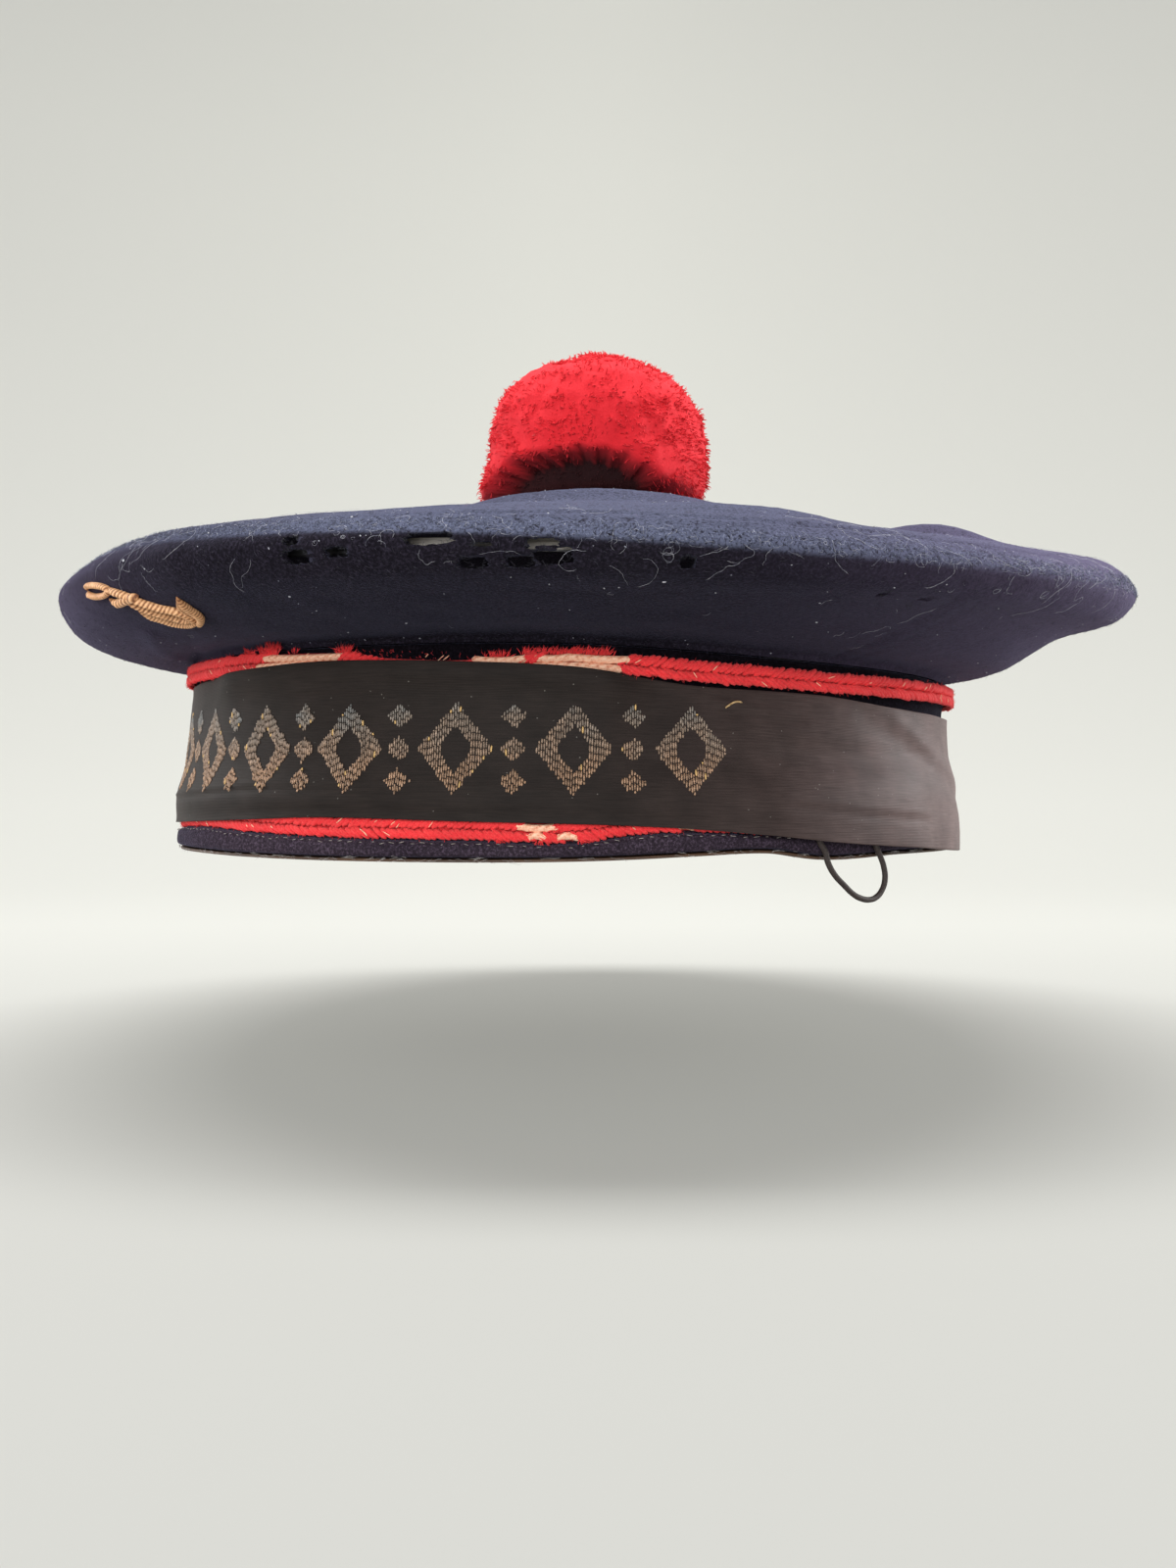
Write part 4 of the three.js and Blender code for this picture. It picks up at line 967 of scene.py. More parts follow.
def paint_braid():
    """Red wool yarn: streaks along each plaited lobe, painted shade darkening each lobe towards its edges where it
    meets the next, and a soft fuzzy bloom.
    """
    wool = Surface("red_wool")
    within = wool.read("within", "Vector")
    streaks = wool.noise(1.5, 3, 0.6, wool.node("Mapping", {"Vector": within, "Scale": (0.8, 5.0, 5.0)}))
    yarn = wool.combine("MULTIPLY", wool.combine("ADD", streaks, wool.noise(2400, 4, 0.7)), 0.5)
    colour = wool.ramp(yarn, (0.30, (0.52, 0.011, 0.019)), (0.45, (0.90, 0.030, 0.040)), (0.62, (0.98, 0.085, 0.080)))
    colour = wool.mix(colour, wool.ramp(wool.noise(130, 3), (0.3, (0.84, 0.82, 0.84)), (0.65, 1.0)))
    # Painted shade: each lobe darkens towards its edges, between the lobes.
    side = wool.combine("ABSOLUTE", wool.node("SeparateXYZ", {0: within}, "Y"))
    colour = wool.mix(colour, wool.ramp(side, (0.55, 1.0), (0.95, (0.72, 0.56, 0.60))))
    return wool.shade(colour, (yarn, 0.8, 0.0003), 0.85, 0.25, (0.3, 0.5, (1.0, 0.35, 0.35)))


def paint_pale_cord():
    """Pale cotton, stained pink between its strands."""
    cotton = Surface("pale_cotton")
    strands = cotton.combine("SINE", cotton.node("SeparateXYZ", {0: cotton.read("within", "Vector")}, "Y"))
    tone = cotton.combine("MULTIPLY_ADD", strands, 0.14, cotton.noise(1800, 4, 0.65))
    stops = (0.26, (0.62, 0.20, 0.12)), (0.42, (0.92, 0.44, 0.28)), (0.66, (0.98, 0.64, 0.46))
    return cotton.shade(cotton.ramp(tone, *stops), (tone, 0.6, 0.00025), 0.8)


red_wool = paint_braid()
pale_cotton = paint_pale_cord()
lobe = small_pillow(6, 6, 0.9)

for which, wall_out in (("upper", HEAD_OUT), ("lower", 0.0)):
    # The flat back of the braid, with a low ridge under each rib.
    level = braid_level(which, directions) - thinning(which, directions)
    worn = 1 - 0.45 * bared(which, 1, directions)
    corners = [(level + up, wall_out + BRAID_BACK + rise * worn) for up, rise in braid_corners]
    braid_back = make_ring(f"braid_back_{which}", round_the_band(corners, 16))
    write_attribute(braid_back, "within", vertex_places(braid_back) * BACK_STREAKS)
    finish(braid_back, red_wool, [f"soutache_{which}"])

    # The plaited lobes: both ribs lean away from the groove towards the back of the cap.
    angles, ribs = [], []
    for rib, shift in ((1, 0), (-1, 0.5 * LOBE_STEP)):
        steps = np.arange(0, 360 - LOBE_STEP / 2, 360 / round(360 / LOBE_STEP)) + shift
        steps = steps[~bared(which, rib, steps)]
        angles.append(steps)
        ribs.append(np.full(len(steps), rib))
    angles, ribs = np.concatenate(angles), np.concatenate(ribs)
    count = len(angles)
    face_out = wall_out + BRAID_FACE
    angles = angles + dice.normal(0, 0.07, count)
    thinned = thinning(which, angles)
    height = braid_level(which, angles) - thinned + ribs * (RIB_MIDDLE - 0.5 * thinned) + dice.normal(0, 0.05, count)
    frames = frames_on_band(angles, height, face_out + 0.18 - 0.35 * thinned + dice.normal(0, 0.05, count))
    frames = leaned(frames, np.tan(np.radians(31 + dice.normal(0, 3.5, count)) * ribs))
    length, width = 1.95 + dice.normal(0, 0.16, count) - 0.4 * thinned, 0.66 + dice.normal(0, 0.04, count)
    lobes = lay_pillows(f"braid_lobes_{which}", lobe, frames, length, width, 0.80 - 0.3 * thinned)
    finish(lobes, red_wool)

    # The bared cords, and pale threads that show between the lobes.
    runs = []
    for rib in (1, -1):
        for start, end in bare_places[which, rib]:
            at = np.linspace(start - 0.8, end + 0.8, 24)
            drop = 0.25 * np.sin((at - start) / (end - start) * math.pi)
            runs.append(np.stack([at, braid_level(which, at) + rib * (0.98 - drop), 0 * at + face_out + 0.1], -1))
    finish(twisted_cord(f"bare_cords_{which}", runs), pale_cotton)
    count = 40
    at = dice.uniform(-85, 88, count)
    rib = dice.choice([1, -1], count)
    frames = frames_on_band(at, braid_level(which, at) + rib * dice.uniform(0.5, 1.6, count), face_out + 0.86)
    frames = leaned(frames, np.tan(np.radians(37 + dice.normal(0, 8, count)) * rib))
    flecks = lay_pillows(f"pale_flecks_{which}", stitch, frames, dice.uniform(0.4, 1.2, count), 0.12, 0.13)
    finish(flecks, pale_cotton)

    # Fuzz of wool ends over the ribs, and longer ends wherever the wool has broken off.
    count = 3600
    at = dice.uniform(-180, 180, count)
    across = dice.uniform(-1, 1, count)
    kept = ~bared(which, 1, at) | (across < -0.3)
    at, across = at[kept], across[kept]
    count = len(at)
    bulge = RIB_RISE * np.sqrt(np.clip(1 - (np.abs(across) - 0.5) ** 2 / 0.42, 0.02, 1))
    place, along, up, out = frames_on_band(at, braid_level(which, at) + across * 2.25, face_out + bulge - 0.15)
    way = unit(0.75 * out + 0.9 * across[:, None] * up + dice.normal(0, 0.55, (count, 3)))
    side = unit(dice.normal(0, 1, (count, 3)))
    length = dice.uniform(0.35, 1.05, count)[:, None] * MM
    paths = np.stack([place, place + 0.5 * length * way, place + length * unit(way + 0.5 * side)], 1)
    spots = list(tuft_spots[which])
    if which == "upper":
        spots += [(spot, 2.0, 14, dice.uniform(1.2, 2.0)) for spot in np.arange(-1.6, 5.4, 0.55)]
    tufts = []
    for spot, above, ends, reach in spots:
        spread = dice.normal(0, 0.45, ends)
        height = braid_level(which, spot + spread) + above + dice.normal(0, 0.25, ends)
        root, along, up, out = frames_on_band(spot + spread, height, face_out + 0.2)
        flare = (0.9 * spread + 0.35)[:, None] * along + (0.95 if above > 0 else -0.5) * up + 0.42 * out
        flare = flare + dice.normal(0, 0.22, (ends, 3))
        reach = (reach * dice.uniform(0.6, 1.0, ends) * MM)[:, None]
        tip = root + reach * unit(flare + dice.normal(0, 0.25, (ends, 3)))
        tufts.append(np.stack([root - 0.3 * reach * unit(flare), root + 0.45 * reach * unit(flare), tip], 1))
    tufts = np.concatenate(tufts)
    thickness = np.concatenate([dice.uniform(0.06, 0.10, count), dice.uniform(0.16, 0.26, len(tufts))])
    finish(make_strands(f"braid_fuzz_{which}", np.concatenate([paths, tufts]), thickness), red_wool)


# ---------- tally ribbon ----------
# A black ribbon with a fine crosswise rib, wrapped round the band and drawn tight. It overlaps the lower braid on
# the left and the upper braid in the middle, and slips down on the right. Towards its ends, most on the right, a
# brown sheen is painted into its colour, and it is made shinier there.

ribbon_folds = [  # from direction and height, to direction and height, width and rise in millimetres
    (19.9, 31.6, 31.7, 29.3, 0.9, -0.45), (19.0, 32.9, 30.0, 30.6, 1.0, 0.35), (26.9, 12.8, 39.8, 10.6, 0.8, 0.35),
    (39.8, 10.6, 56.0, 9.0, 0.8, 0.35), (27.5, 11.7, 40.5, 9.5, 0.9, -0.4), (40.5, 9.5, 56.0, 8.0, 0.9, -0.4),
    (-76.0, 13.3, -40.2, 16.2, 0.55, 0.32), (-76.0, 12.4, -40.2, 15.3, 0.6, -0.35),
    (-40.2, 16.2, -20.5, 15.7, 0.55, 0.25), (-40.2, 15.3, -20.5, 14.8, 0.6, -0.28),
    (-20.5, 15.7, -4.7, 14.7, 0.5, 0.20), (-20.5, 14.8, -4.7, 13.8, 0.6, -0.22), (-4.7, 14.7, 8.9, 13.1, 0.5, 0.18),
    (-4.7, 13.9, 8.9, 12.3, 0.6, -0.20), (-36.0, 35.2, -22.0, 34.5, 0.7, -0.35), (-36.0, 36.2, -22.0, 35.5, 0.8, 0.25),
    (41.7, 31.2, 60.0, 20.0, 3.0, -0.55), (60.0, 20.0, 89.9, 8.5, 3.4, -0.5), (49.0, 31.0, 66.0, 21.0, 2.4, 0.45),
    (66.0, 21.0, 92.0, 11.0, 2.6, 0.4), (28.0, 24.0, 44.0, 20.0, 2.2, -0.3), (100.0, 26.0, 150.0, 20.0, 2.2, 0.5),
    (100.0, 24.0, 150.0, 18.0, 1.8, -0.4), (-170.0, 14.0, -110.0, 17.0, 1.2, 0.4),
    (170.0, 28.0, 215.0, 31.0, 1.6, -0.4),
]
BAND_DEGREE = 1.57  # millimetres of cloth along one degree of the band
OVER_BRAID, OVER_BAND = 2.45, 0.7
RIBBON_FACE, RIBBON_THICK = 0.9, 0.5
OVAL_LENGTH, OVAL_WIDTH = 97, 82


def ribbon_rows(angle):
    """Seven knots up the ribbon at each direction, as heights and distances out from the band in millimetres."""
    foot, head = around(band_rows, RIBBON_FOOT, angle), around(band_rows, RIBBON_HEAD, angle)
    turned = wrap(angle)
    over_elastic = 1.8 * smoothstep(turned, 18, 28) * (1 - smoothstep(turned, 49, 60))
    over_hem = 0.95 * smoothstep(around(band_rows, LOW_BRAID, angle) - foot, 1.6, 3)
    foot_out = OVER_BRAID + over_elastic + over_hem
    lap = smoothstep(head - around(band_rows, HIGH_BRAID, angle) + BRAID_HALF, -0.4, 0.6)
    head_out = OVER_BAND + (OVER_BRAID + HEAD_OUT - OVER_BAND) * lap
    heights = [foot, np.maximum(foot + 1.5, 5.6), 13.6 + 0 * foot, 21.5 + 0 * foot, head - 8.0, head - 2.4, head]
    outs = [foot_out, foot_out, OVER_BRAID + 0.4 + over_elastic, 1.3 + 0.6 * lap, 0.9 + 1.4 * lap, head_out, head_out]
    return np.stack([np.stack(heights, -1), np.stack(outs, -1)], -1)


def smooth_curve(knots, at):
    """A smooth curve through knots (..., knot, coordinate), at places counted from the first knot."""
    ends = 2 * knots[..., [0, -1], :] - knots[..., [1, -2], :]
    knots = np.concatenate([ends[..., :1, :], knots, ends[..., 1:, :]], -2)
    i = np.minimum(at.astype(int), knots.shape[-2] - 4)
    t = (at - i)[..., None]
    p0, p1, p2, p3 = (np.take_along_axis(knots, (i + k)[..., None, None], -2)[..., 0, :] for k in range(4))
    return p1 + 0.5 * t * (p2 - p0 + t * (2 * p0 - 5 * p1 + 4 * p2 - p3 + t * (3 * (p1 - p2) + p3 - p0)))


def ribbon_surface(angle, share):
    """Heights and distances out of the ribbon's face: share runs from 0 at its lower edge to 1 at its upper one."""
    height, out = np.moveaxis(smooth_curve(ribbon_rows(angle), np.clip(share, 0, 1) * 6), -1, 0)
    creep = 0.10 * np.sin(np.radians(angle) * 23 + 2.0 * share) * (share - 0.5) ** 2 * 4
    folds = soft_folds(ribbon_folds, wrap(angle, -135), height, BAND_DEGREE, tapered=True)
    return height, out + RIBBON_FACE + folds + creep


ribbon_directions = np.arange(0, 360, 0.72)
angle, share = np.meshgrid(ribbon_directions, np.linspace(0, 1, 52), indexing="ij")
height, out = ribbon_surface(angle, share)
face = on_band(angle, height, out + 0.06 * grain(np.stack([height * 0.5, angle * 0.4, out], -1), 0.9, 8))
angle, share = np.meshgrid(ribbon_directions, np.linspace(1, 0, 14), indexing="ij")
height, out = ribbon_surface(angle, share)
ribbon = make_ring("tally_ribbon_cloth", np.concatenate([face, on_band(angle, height, out - RIBBON_THICK)], 1))
x, y, z = (vertex_places(ribbon) / MM).T
angle = np.degrees(np.arctan2(y / OVAL_LENGTH, x / OVAL_WIDTH))
climb = 0.055 * np.maximum(angle + 10, 0)
write_attribute(ribbon, "weave", np.stack([angle * BAND_DEGREE, z + climb, 0 * angle], -1))
# Painted sheen: brown painted into the ribbon towards the right end and a little at the left, falling away on the
# hidden back.
painted_sheen = smoothstep(angle, -5, 88) ** 1.1 + 0.45 * smoothstep(angle, -66, -92)
write_attribute(ribbon, "painted_sheen_share", painted_sheen * (1 - 0.88 * smoothstep(np.abs(angle), 93, 126)))


def paint_ribbon():
    """Near-black ribbed silk with specks of dust, browner where a sheen is painted into its colour, and shinier there.
    """
    silk = Surface("black_ribbon")
    weave, painted_sheen_share = silk.read("weave", "Vector"), silk.read("painted_sheen_share")
    waves = {"Vector": weave, "Scale": 0.95, "Distortion": 0.6, "Detail": 2, "Detail Scale": 2}
    ribs = silk.node("TexWave", waves, "Fac", bands_direction="Y")
    threads = silk.noise(1.4, 6, 0.7, silk.node("Mapping", {"Vector": weave, "Scale": (0.10, 2.2, 1.0)}))
    dark = silk.ramp(threads, (0.3, (0.0098, 0.0068, 0.0058)), (0.7, (0.0225, 0.0158, 0.0138)))
    # The painted sheen's brown.
    sheen_brown = silk.ramp(threads, (0.3, (0.110, 0.071, 0.069)), (0.7, (0.196, 0.134, 0.131)))
    colour = silk.mix(dark, sheen_brown, painted_sheen_share, "MIX")
    colour = silk.mix(colour, silk.ramp(silk.noise(0.12, 3, at=weave), (0.3, 0.75), (0.7, 1.15)))
    dust = silk.node("TexVoronoi", {"Vector": weave, "Scale": 0.42, "Randomness": 1})
    speck = silk.combine("MULTIPLY", silk.combine("LESS_THAN", dust, 0.055), 0.35)
    colour = silk.mix(colour, (0.35, 0.33, 0.30), speck, "MIX")
    bump = (silk.combine("ADD", ribs, threads), 0.22, 0.00012)
    return silk.shade(colour, bump, silk.between(painted_sheen_share, 0, 1, 0.62, 0.50), 0.15, (0.06, 0.35, (1.0, 0.86, 0.84)))


finish(ribbon, paint_ribbon(), ["tally_ribbon"])

# The woven row: an ornament of open lozenges with small ones between them, in tarnished gold thread.
THREAD_STEP, STITCH = 0.47, 1.5
ROW_FOOT, ROW_HEAD = 14.3, 34.0
ROW_FROM, ROW_TO = -75.0, 20.6
REPEAT = 22.4
LARGE_AT, LARGE_HALF, HOLLOW_HALF = 7.8, 7.8, 3.3
SMALL_AT, SMALL_HALF = 18.9, 3.0


def ornament_spans(along):
    """The stretches of a column, as shares of the row's height, that the ornament covers at a place along it."""
    x = along % REPEAT
    spans = []
    large, small = abs(x - LARGE_AT) / LARGE_HALF, abs(x - SMALL_AT) / SMALL_HALF
    if large < 1:
        reach = 0.5 * (1 - large)
        hollow_and_shade = 0.5 * (1 - abs(x - LARGE_AT) / HOLLOW_HALF) * 0.46
        if hollow_and_shade > 0.03:
            spans += [(0.5 - reach, 0.5 - hollow_and_shade), (0.5 + hollow_and_shade, 0.5 + reach)]
        else:
            spans.append((0.5 - reach, 0.5 + reach))
    if small < 1:
        reach = 0.155 * (1 - small)
        spans += [(middle - reach, middle + reach) for middle in (0.16, 0.5, 0.84)]
    return spans


gold_stitches = []  # direction, height, half-length, chance of being bright, distance from the column's ends
columns = np.arange(ROW_FROM * BAND_DEGREE, ROW_TO * BAND_DEGREE, THREAD_STEP)
for number, column in enumerate(columns):
    at = column / BAND_DEGREE
    slope = -0.02 * (at - ROW_FROM)
    for low_share, high_share in ornament_spans(column - ROW_FROM * BAND_DEGREE):
        low_end = ROW_FOOT + slope * 0.35 + (ROW_HEAD - ROW_FOOT) * low_share + dice.normal(0, 0.22)
        high_end = ROW_FOOT + slope * 0.9 + (ROW_HEAD - ROW_FOOT) * high_share + dice.normal(0, 0.22)
        if high_end - low_end < 0.5:
            continue
        cut = low_end - (0.75 if number % 2 else 0.0) + dice.normal(0, 0.05)
        while cut < high_end:
            start, end = max(cut, low_end), min(cut + STITCH, high_end)
            if end - start > 0.3:
                place = (at + dice.normal(0, 0.02), 0.5 * (start + end), 0.5 * (end - start) + 0.02)
                gold_stitches.append((*place, dice.uniform(0, 1), min(start - low_end, high_end - end)))
            cut += STITCH
angle, height, half_length, chance, from_end = np.array(gold_stitches).T


def ribbon_frames(angle, height, lift):
    """Places on the ribbon's face by direction and height, with the ways along, up and out."""
    places = []
    for turn_by, height_by in ((0, 0), (0.2, 0), (0, 0.3)):
        turned, wanted = angle + turn_by, height + height_by
        rows = ribbon_surface(*np.broadcast_arrays(turned[:, None], np.linspace(0, 1, 121)))
        out = np.array([np.interp(*row) for row in zip(wanted, *rows)])
        places.append(on_band(turned, wanted, out))
    along, up = unit(places[1] - places[0]), unit(places[2] - places[0])
    out = unit(np.cross(along, up))
    return places[0] + lift * MM * out, along, up, out


place, along, up, out = ribbon_frames(angle, height, 0.05)
frames = leaned((place, up, along, -out), dice.normal(0, 0.05, len(place)))
half_width = 0.215 + dice.normal(0, 0.015, len(place))
gold_row = lay_pillows("gold_thread_row", small_pillow(6, 4, 0.8), frames, half_length, half_width, 0.16)
each = len(gold_row.data.vertices) // len(place)
write_attribute(gold_row, "tone", np.repeat((height - ROW_FOOT) / (ROW_HEAD - ROW_FOOT), each))
write_attribute(gold_row, "chance", np.repeat(chance - 0.25 * (from_end > 0.2), each))


def paint_gold_thread():
    """Tarnished gold thread: grey where it is worn bare, brown where it is not, and a few ends still bright."""
    gold = Surface("gold_thread_tarnished")
    chance = gold.read("chance")
    tone = gold.combine("MULTIPLY", gold.combine("MULTIPLY_ADD", gold.noise(120, 3), 0.9, gold.read("tone")), 0.72)
    colour = gold.ramp(tone, (0.45, (0.36, 0.225, 0.145)), (0.85, (0.26, 0.205, 0.165)), (1.0, (0.17, 0.175, 0.175)))
    colour = gold.mix(colour, gold.ramp(gold.noise(2600, 3), (0.3, 0.55), (0.7, (1.35, 1.3, 1.25))))
    colour = gold.mix(colour, gold.ramp(chance, (0.0, 0.7), (0.93, 1.2)))
    colour = gold.mix(colour, (0.62, 0.40, 0.16), gold.combine("GREATER_THAN", chance, 0.955), "MIX")
    return gold.shade(colour, metallic=0.25)


finish(gold_row, paint_gold_thread())

# One loose end of thread at the right end of the row.
turns = np.linspace(0, 1, 9)
place, _, up, _ = ribbon_frames(20.0 + 2.3 * turns, 32.0 + 1.1 * np.sin(turns * 2.2), 0.25)
loose_end = make_strands("loose_thread_end", np.stack([place + i * 0.10 * MM * up for i in range(3)]), 0.3)
finish(loose_end, paint_thread("bright_gold_thread", (0.34, 0.20, 0.08), (0.70, 0.50, 0.26)))


# ---------- pompom ----------
# A ball of bright red wool tied through the middle of the crown and trimmed to a dome. On the wearer's left its
# lower side has been pressed up, so it hangs over a deep hollow, darkened with painted shade.

pompom_outline = np.array([  # distance out from the middle, height above the crown's top
    (0, 0.9), (14, 0.7), (24.5, 0.8), (28.6, 2.0), (29.0, 6.7), (28.5, 12.7), (28.0, 18.7), (26.5, 24.2),
    (23.4, 28.7), (18.2, 32.7), (10.7, 35.7), (4.0, 36.9), (0, 37.2),
])
hollow_rim = np.array([  # distance towards the back, height of the hollow's upper rim
    (-29.0, 2.0), (-26.0, 5.4), (-22.5, 7.4), (-18, 7.9), (-13, 8.1), (-8.3, 8.5), (-2.7, 8.6), (0.7, 8.1), (6, 7.0),
    (10, 5.2), (14, 3.4), (18, 1.6), (22, 0),
])
outline_arc = arc_along(pompom_outline)
FRONT_TURN, BACK_TURN = -1.6, 1.4
HOLLOW_DEPTH = 9.0


def pompom_surface(turn, share):
    """Points in millimetres, from 0 under the pompom to 1 on its top, and how deep in the hollow each one is, which
    also sets the painted shade there.
    """
    turn, share = np.broadcast_arrays(turn, share)
    arc = share * outline_arc[-1]
    soft = [np.interp(arc + step, outline_arc, column) for column in pompom_outline.T for step in (-1.6, 0, 1.6)]
    out, up = sum(soft[:3]) / 3, sum(soft[3:]) / 3
    lump = 1 + 0.02 * np.sin(3 * turn + 0.6) + 0.015 * np.sin(5 * turn)
    low = np.exp(-((up / 7.0) ** 2))
    to_front, to_back = ((turn - at + math.pi) % (2 * math.pi) - math.pi for at in (FRONT_TURN, BACK_TURN))
    flare = 2.4 * low * np.exp(-((to_front / 0.5) ** 2)) - 1.0 * low * np.exp(-((to_back / 0.5) ** 2))
    flare = flare - 0.9 * np.exp(-(((up - 13) / 9) ** 2)) * np.exp(-((to_front / 0.8) ** 2))
    out = out * lump + flare
    sideways = out * np.sin(turn)
    arch = np.interp(sideways, *hollow_rim.T) + 0.5 * np.sin(sideways * 1.1) + 0.35 * np.sin(sideways * 2.7 + 1)
    hollow_and_shade = smoothstep(arch - up, -0.4, 1.8) * (np.cos(turn) > 0) * smoothstep(arch, 0.4, 2.4)
    out = out - HOLLOW_DEPTH * hollow_and_shade * smoothstep(out, 8, 24)
    return np.stack([out * np.cos(turn), CROWN_BACK + out * np.sin(turn), CROWN_TOP + up], -1), hollow_and_shade


def pompom_lumps(points):
    return 0.55 * grain(points, 0.16, 12) + 0.60 * grain(points, 0.36, 13) + 0.18 * grain(points, 1.0, 14)


TURNS, RISES = 150, 84
body, hollow_and_shade = pompom_surface(np.arange(TURNS)[:, None] * 2 * math.pi / TURNS, np.linspace(0, 1, RISES))
centre = np.array([0, CROWN_BACK, CROWN_TOP + 14])
kept_low = smoothstep(body[..., 2] - CROWN_TOP, 0.8, 4)
body = body + (pompom_lumps(body) * kept_low + 0.28)[..., None] * unit(body - centre)
for pole in (0, -1):
    body[:, pole] = body[:, pole].mean(0)
body[..., 2] = np.maximum(body[..., 2], CROWN_TOP - 2.5)
deselect_all()
bpy.ops.mesh.primitive_uv_sphere_add(segments=TURNS, ring_count=RISES - 1, radius=1)
pompom = name_piece(bpy.context.object, "pompom_wool_body")
x, y, z = vertex_places(pompom).T
column = np.round(np.arctan2(y, x) % (2 * math.pi) / (2 * math.pi) * TURNS).astype(int) % TURNS
row = np.round((1 - np.arccos(np.clip(z, -1, 1)) / math.pi) * (RISES - 1)).astype(int)
set_points(pompom, body[column, row] * MM)
bpy.ops.object.shade_smooth()
# The ball's share and hollow values set its painted shade.
write_attribute(pompom, "share", np.full(len(x), 0.25))
write_attribute(pompom, "hollow_and_shade", hollow_and_shade[column, row])
edit_all(remove_doubles={"threshold": 1e-6}, dissolve_degenerate={"threshold": 1e-6})


def paint_pompom():
    """Bright red wool, brightest at the tips, with painted shade: deeper red towards the roots and almost black inside
    the hollow.
    """
    wool = Surface("red_pompom_wool")
    fine = wool.noise(2200, 3, 0.7)
    tufts = wool.combine("MULTIPLY", wool.noise(210, 4, 0.6), 0.55)
    # Painted shade: the ends darken towards their roots.
    lit = wool.combine("MULTIPLY_ADD", wool.read("share"), 0.42, tufts)
    stops = (0.25, (0.60, 0.012, 0.019)), (0.50, (0.69, 0.018, 0.028)), (0.80, (0.78, 0.026, 0.038))
    colour = wool.ramp(wool.combine("MULTIPLY_ADD", fine, 0.25, lit), *stops)
    # Painted shade: almost black inside the hollow.
    colour = wool.mix(colour, (0.012, 0.003, 0.004), wool.read("hollow_and_shade"), "MIX")
    return wool.shade(colour, (fine, 0.6, 0.0004), 0.9, 0.2, (0.15, 0.6, (1.0, 0.25, 0.28)))


pompom_wool = paint_pompom()
finish(pompom, pompom_wool, ["pompom"])

# The pile: thousands of wool ends that stand out of the ball and lean together in soft tufts.
FLANK_FROM = 0.30
count = 9600
turn = dice.uniform(0, 2 * math.pi, count)
share = np.sqrt(dice.uniform(FLANK_FROM**2, 1, count))
share = np.where(dice.random(count) < 0.30, dice.uniform(0.36, 0.60, count), share)
root, hollow_and_shade = pompom_surface(turn, share)
ahead, _ = pompom_surface(turn + 0.01, share)
above, _ = pompom_surface(turn, np.minimum(share + 0.008, 1.0))
radial = unit(root - centre)
normal = unit(np.cross(unit(ahead - root), above - root) + 1e-9)
normal = np.where((radial * normal).sum(-1, keepdims=True) < 0, -normal, normal)
lean, lean_fine = (
    np.stack([grain(root, scale, seed + i) for i in range(3)], -1) for scale, seed in ((0.17, 21), (0.85, 24))
)
way = unit(0.34 * normal + 0.22 * radial + 1.35 * lean + 0.42 * lean_fine + dice.normal(0, 0.10, (count, 3)))
way = unit(way + np.clip(0.16 - (way * normal).sum(-1, keepdims=True), 0, 2) * normal)
lumps = pompom_lumps(root)
root = root + (lumps - 0.25)[:, None] * radial
length = (1.7 + dice.normal(0, 0.28, count) + 0.2 * lumps)[:, None] * (1 - 0.3 * hollow_and_shade[:, None])
sag = np.array([0, 0, -0.15])
bend = unit(way + sag + dice.normal(0, 0.10, (count, 3)))
tip = unit(way + 1.6 * sag + dice.normal(0, 0.14, (count, 3)))
paths = np.stack([root, root + 0.4 * length * way, root + 0.75 * length * bend, root + length * tip], 1)

# Tufts of nine ends that stick out of the pile: five in set places, and the rest anywhere.
stray, ends = 34, 9
turn, share = dice.uniform(0, 2 * math.pi, stray), np.sqrt(dice.uniform(FLANK_FROM**2, 1, stray))
placed_tufts = [(0.3, 1.0), (2.9, 0.985), (1.42, 0.335), (1.46, 0.34), (1.50, 0.33)]
placed = len(placed_tufts)
turn[:placed], share[:placed] = np.array(placed_tufts).T
spread = dice.normal(0, 0.02, stray * ends)
tuft_root, tuft_hollow_and_shade = pompom_surface(np.repeat(turn, ends) + spread, np.repeat(share, ends))
tuft_way = np.repeat(unit(pompom_surface(turn, share)[0] - centre), ends, 0)
tuft_way = unit(tuft_way + dice.normal(0, 0.22, tuft_way.shape))
reach = np.repeat(dice.uniform(0.6, 1.3, stray) + 1.2 * (np.arange(stray) < placed), ends)[:, None]
tuft_tip = tuft_root + reach * unit(tuft_way + dice.normal(0, 0.12, tuft_way.shape))
tuft_paths = np.stack([tuft_root - tuft_way, tuft_root, tuft_root + 0.5 * reach * tuft_way, tuft_tip], 1)
thickness = np.concatenate([dice.uniform(0.20, 0.36, count), dice.uniform(0.16, 0.26, stray * ends)])
pile = make_strands("pompom_pile", MM * np.concatenate([paths, tuft_paths]), thickness)
each = len(pile.data.vertices) // len(thickness)
write_attribute(pile, "hollow_and_shade", np.repeat(np.concatenate([hollow_and_shade, tuft_hollow_and_shade]), each))
finish(pile, pompom_wool)


# ---------- anchor badge ----------
# A traditional rope anchor in gilt wire cord, worn on the front of the crown a little to the left. The shank is
# closely wrapped, the arms are twisted, and the ring at its head has been squashed flat.

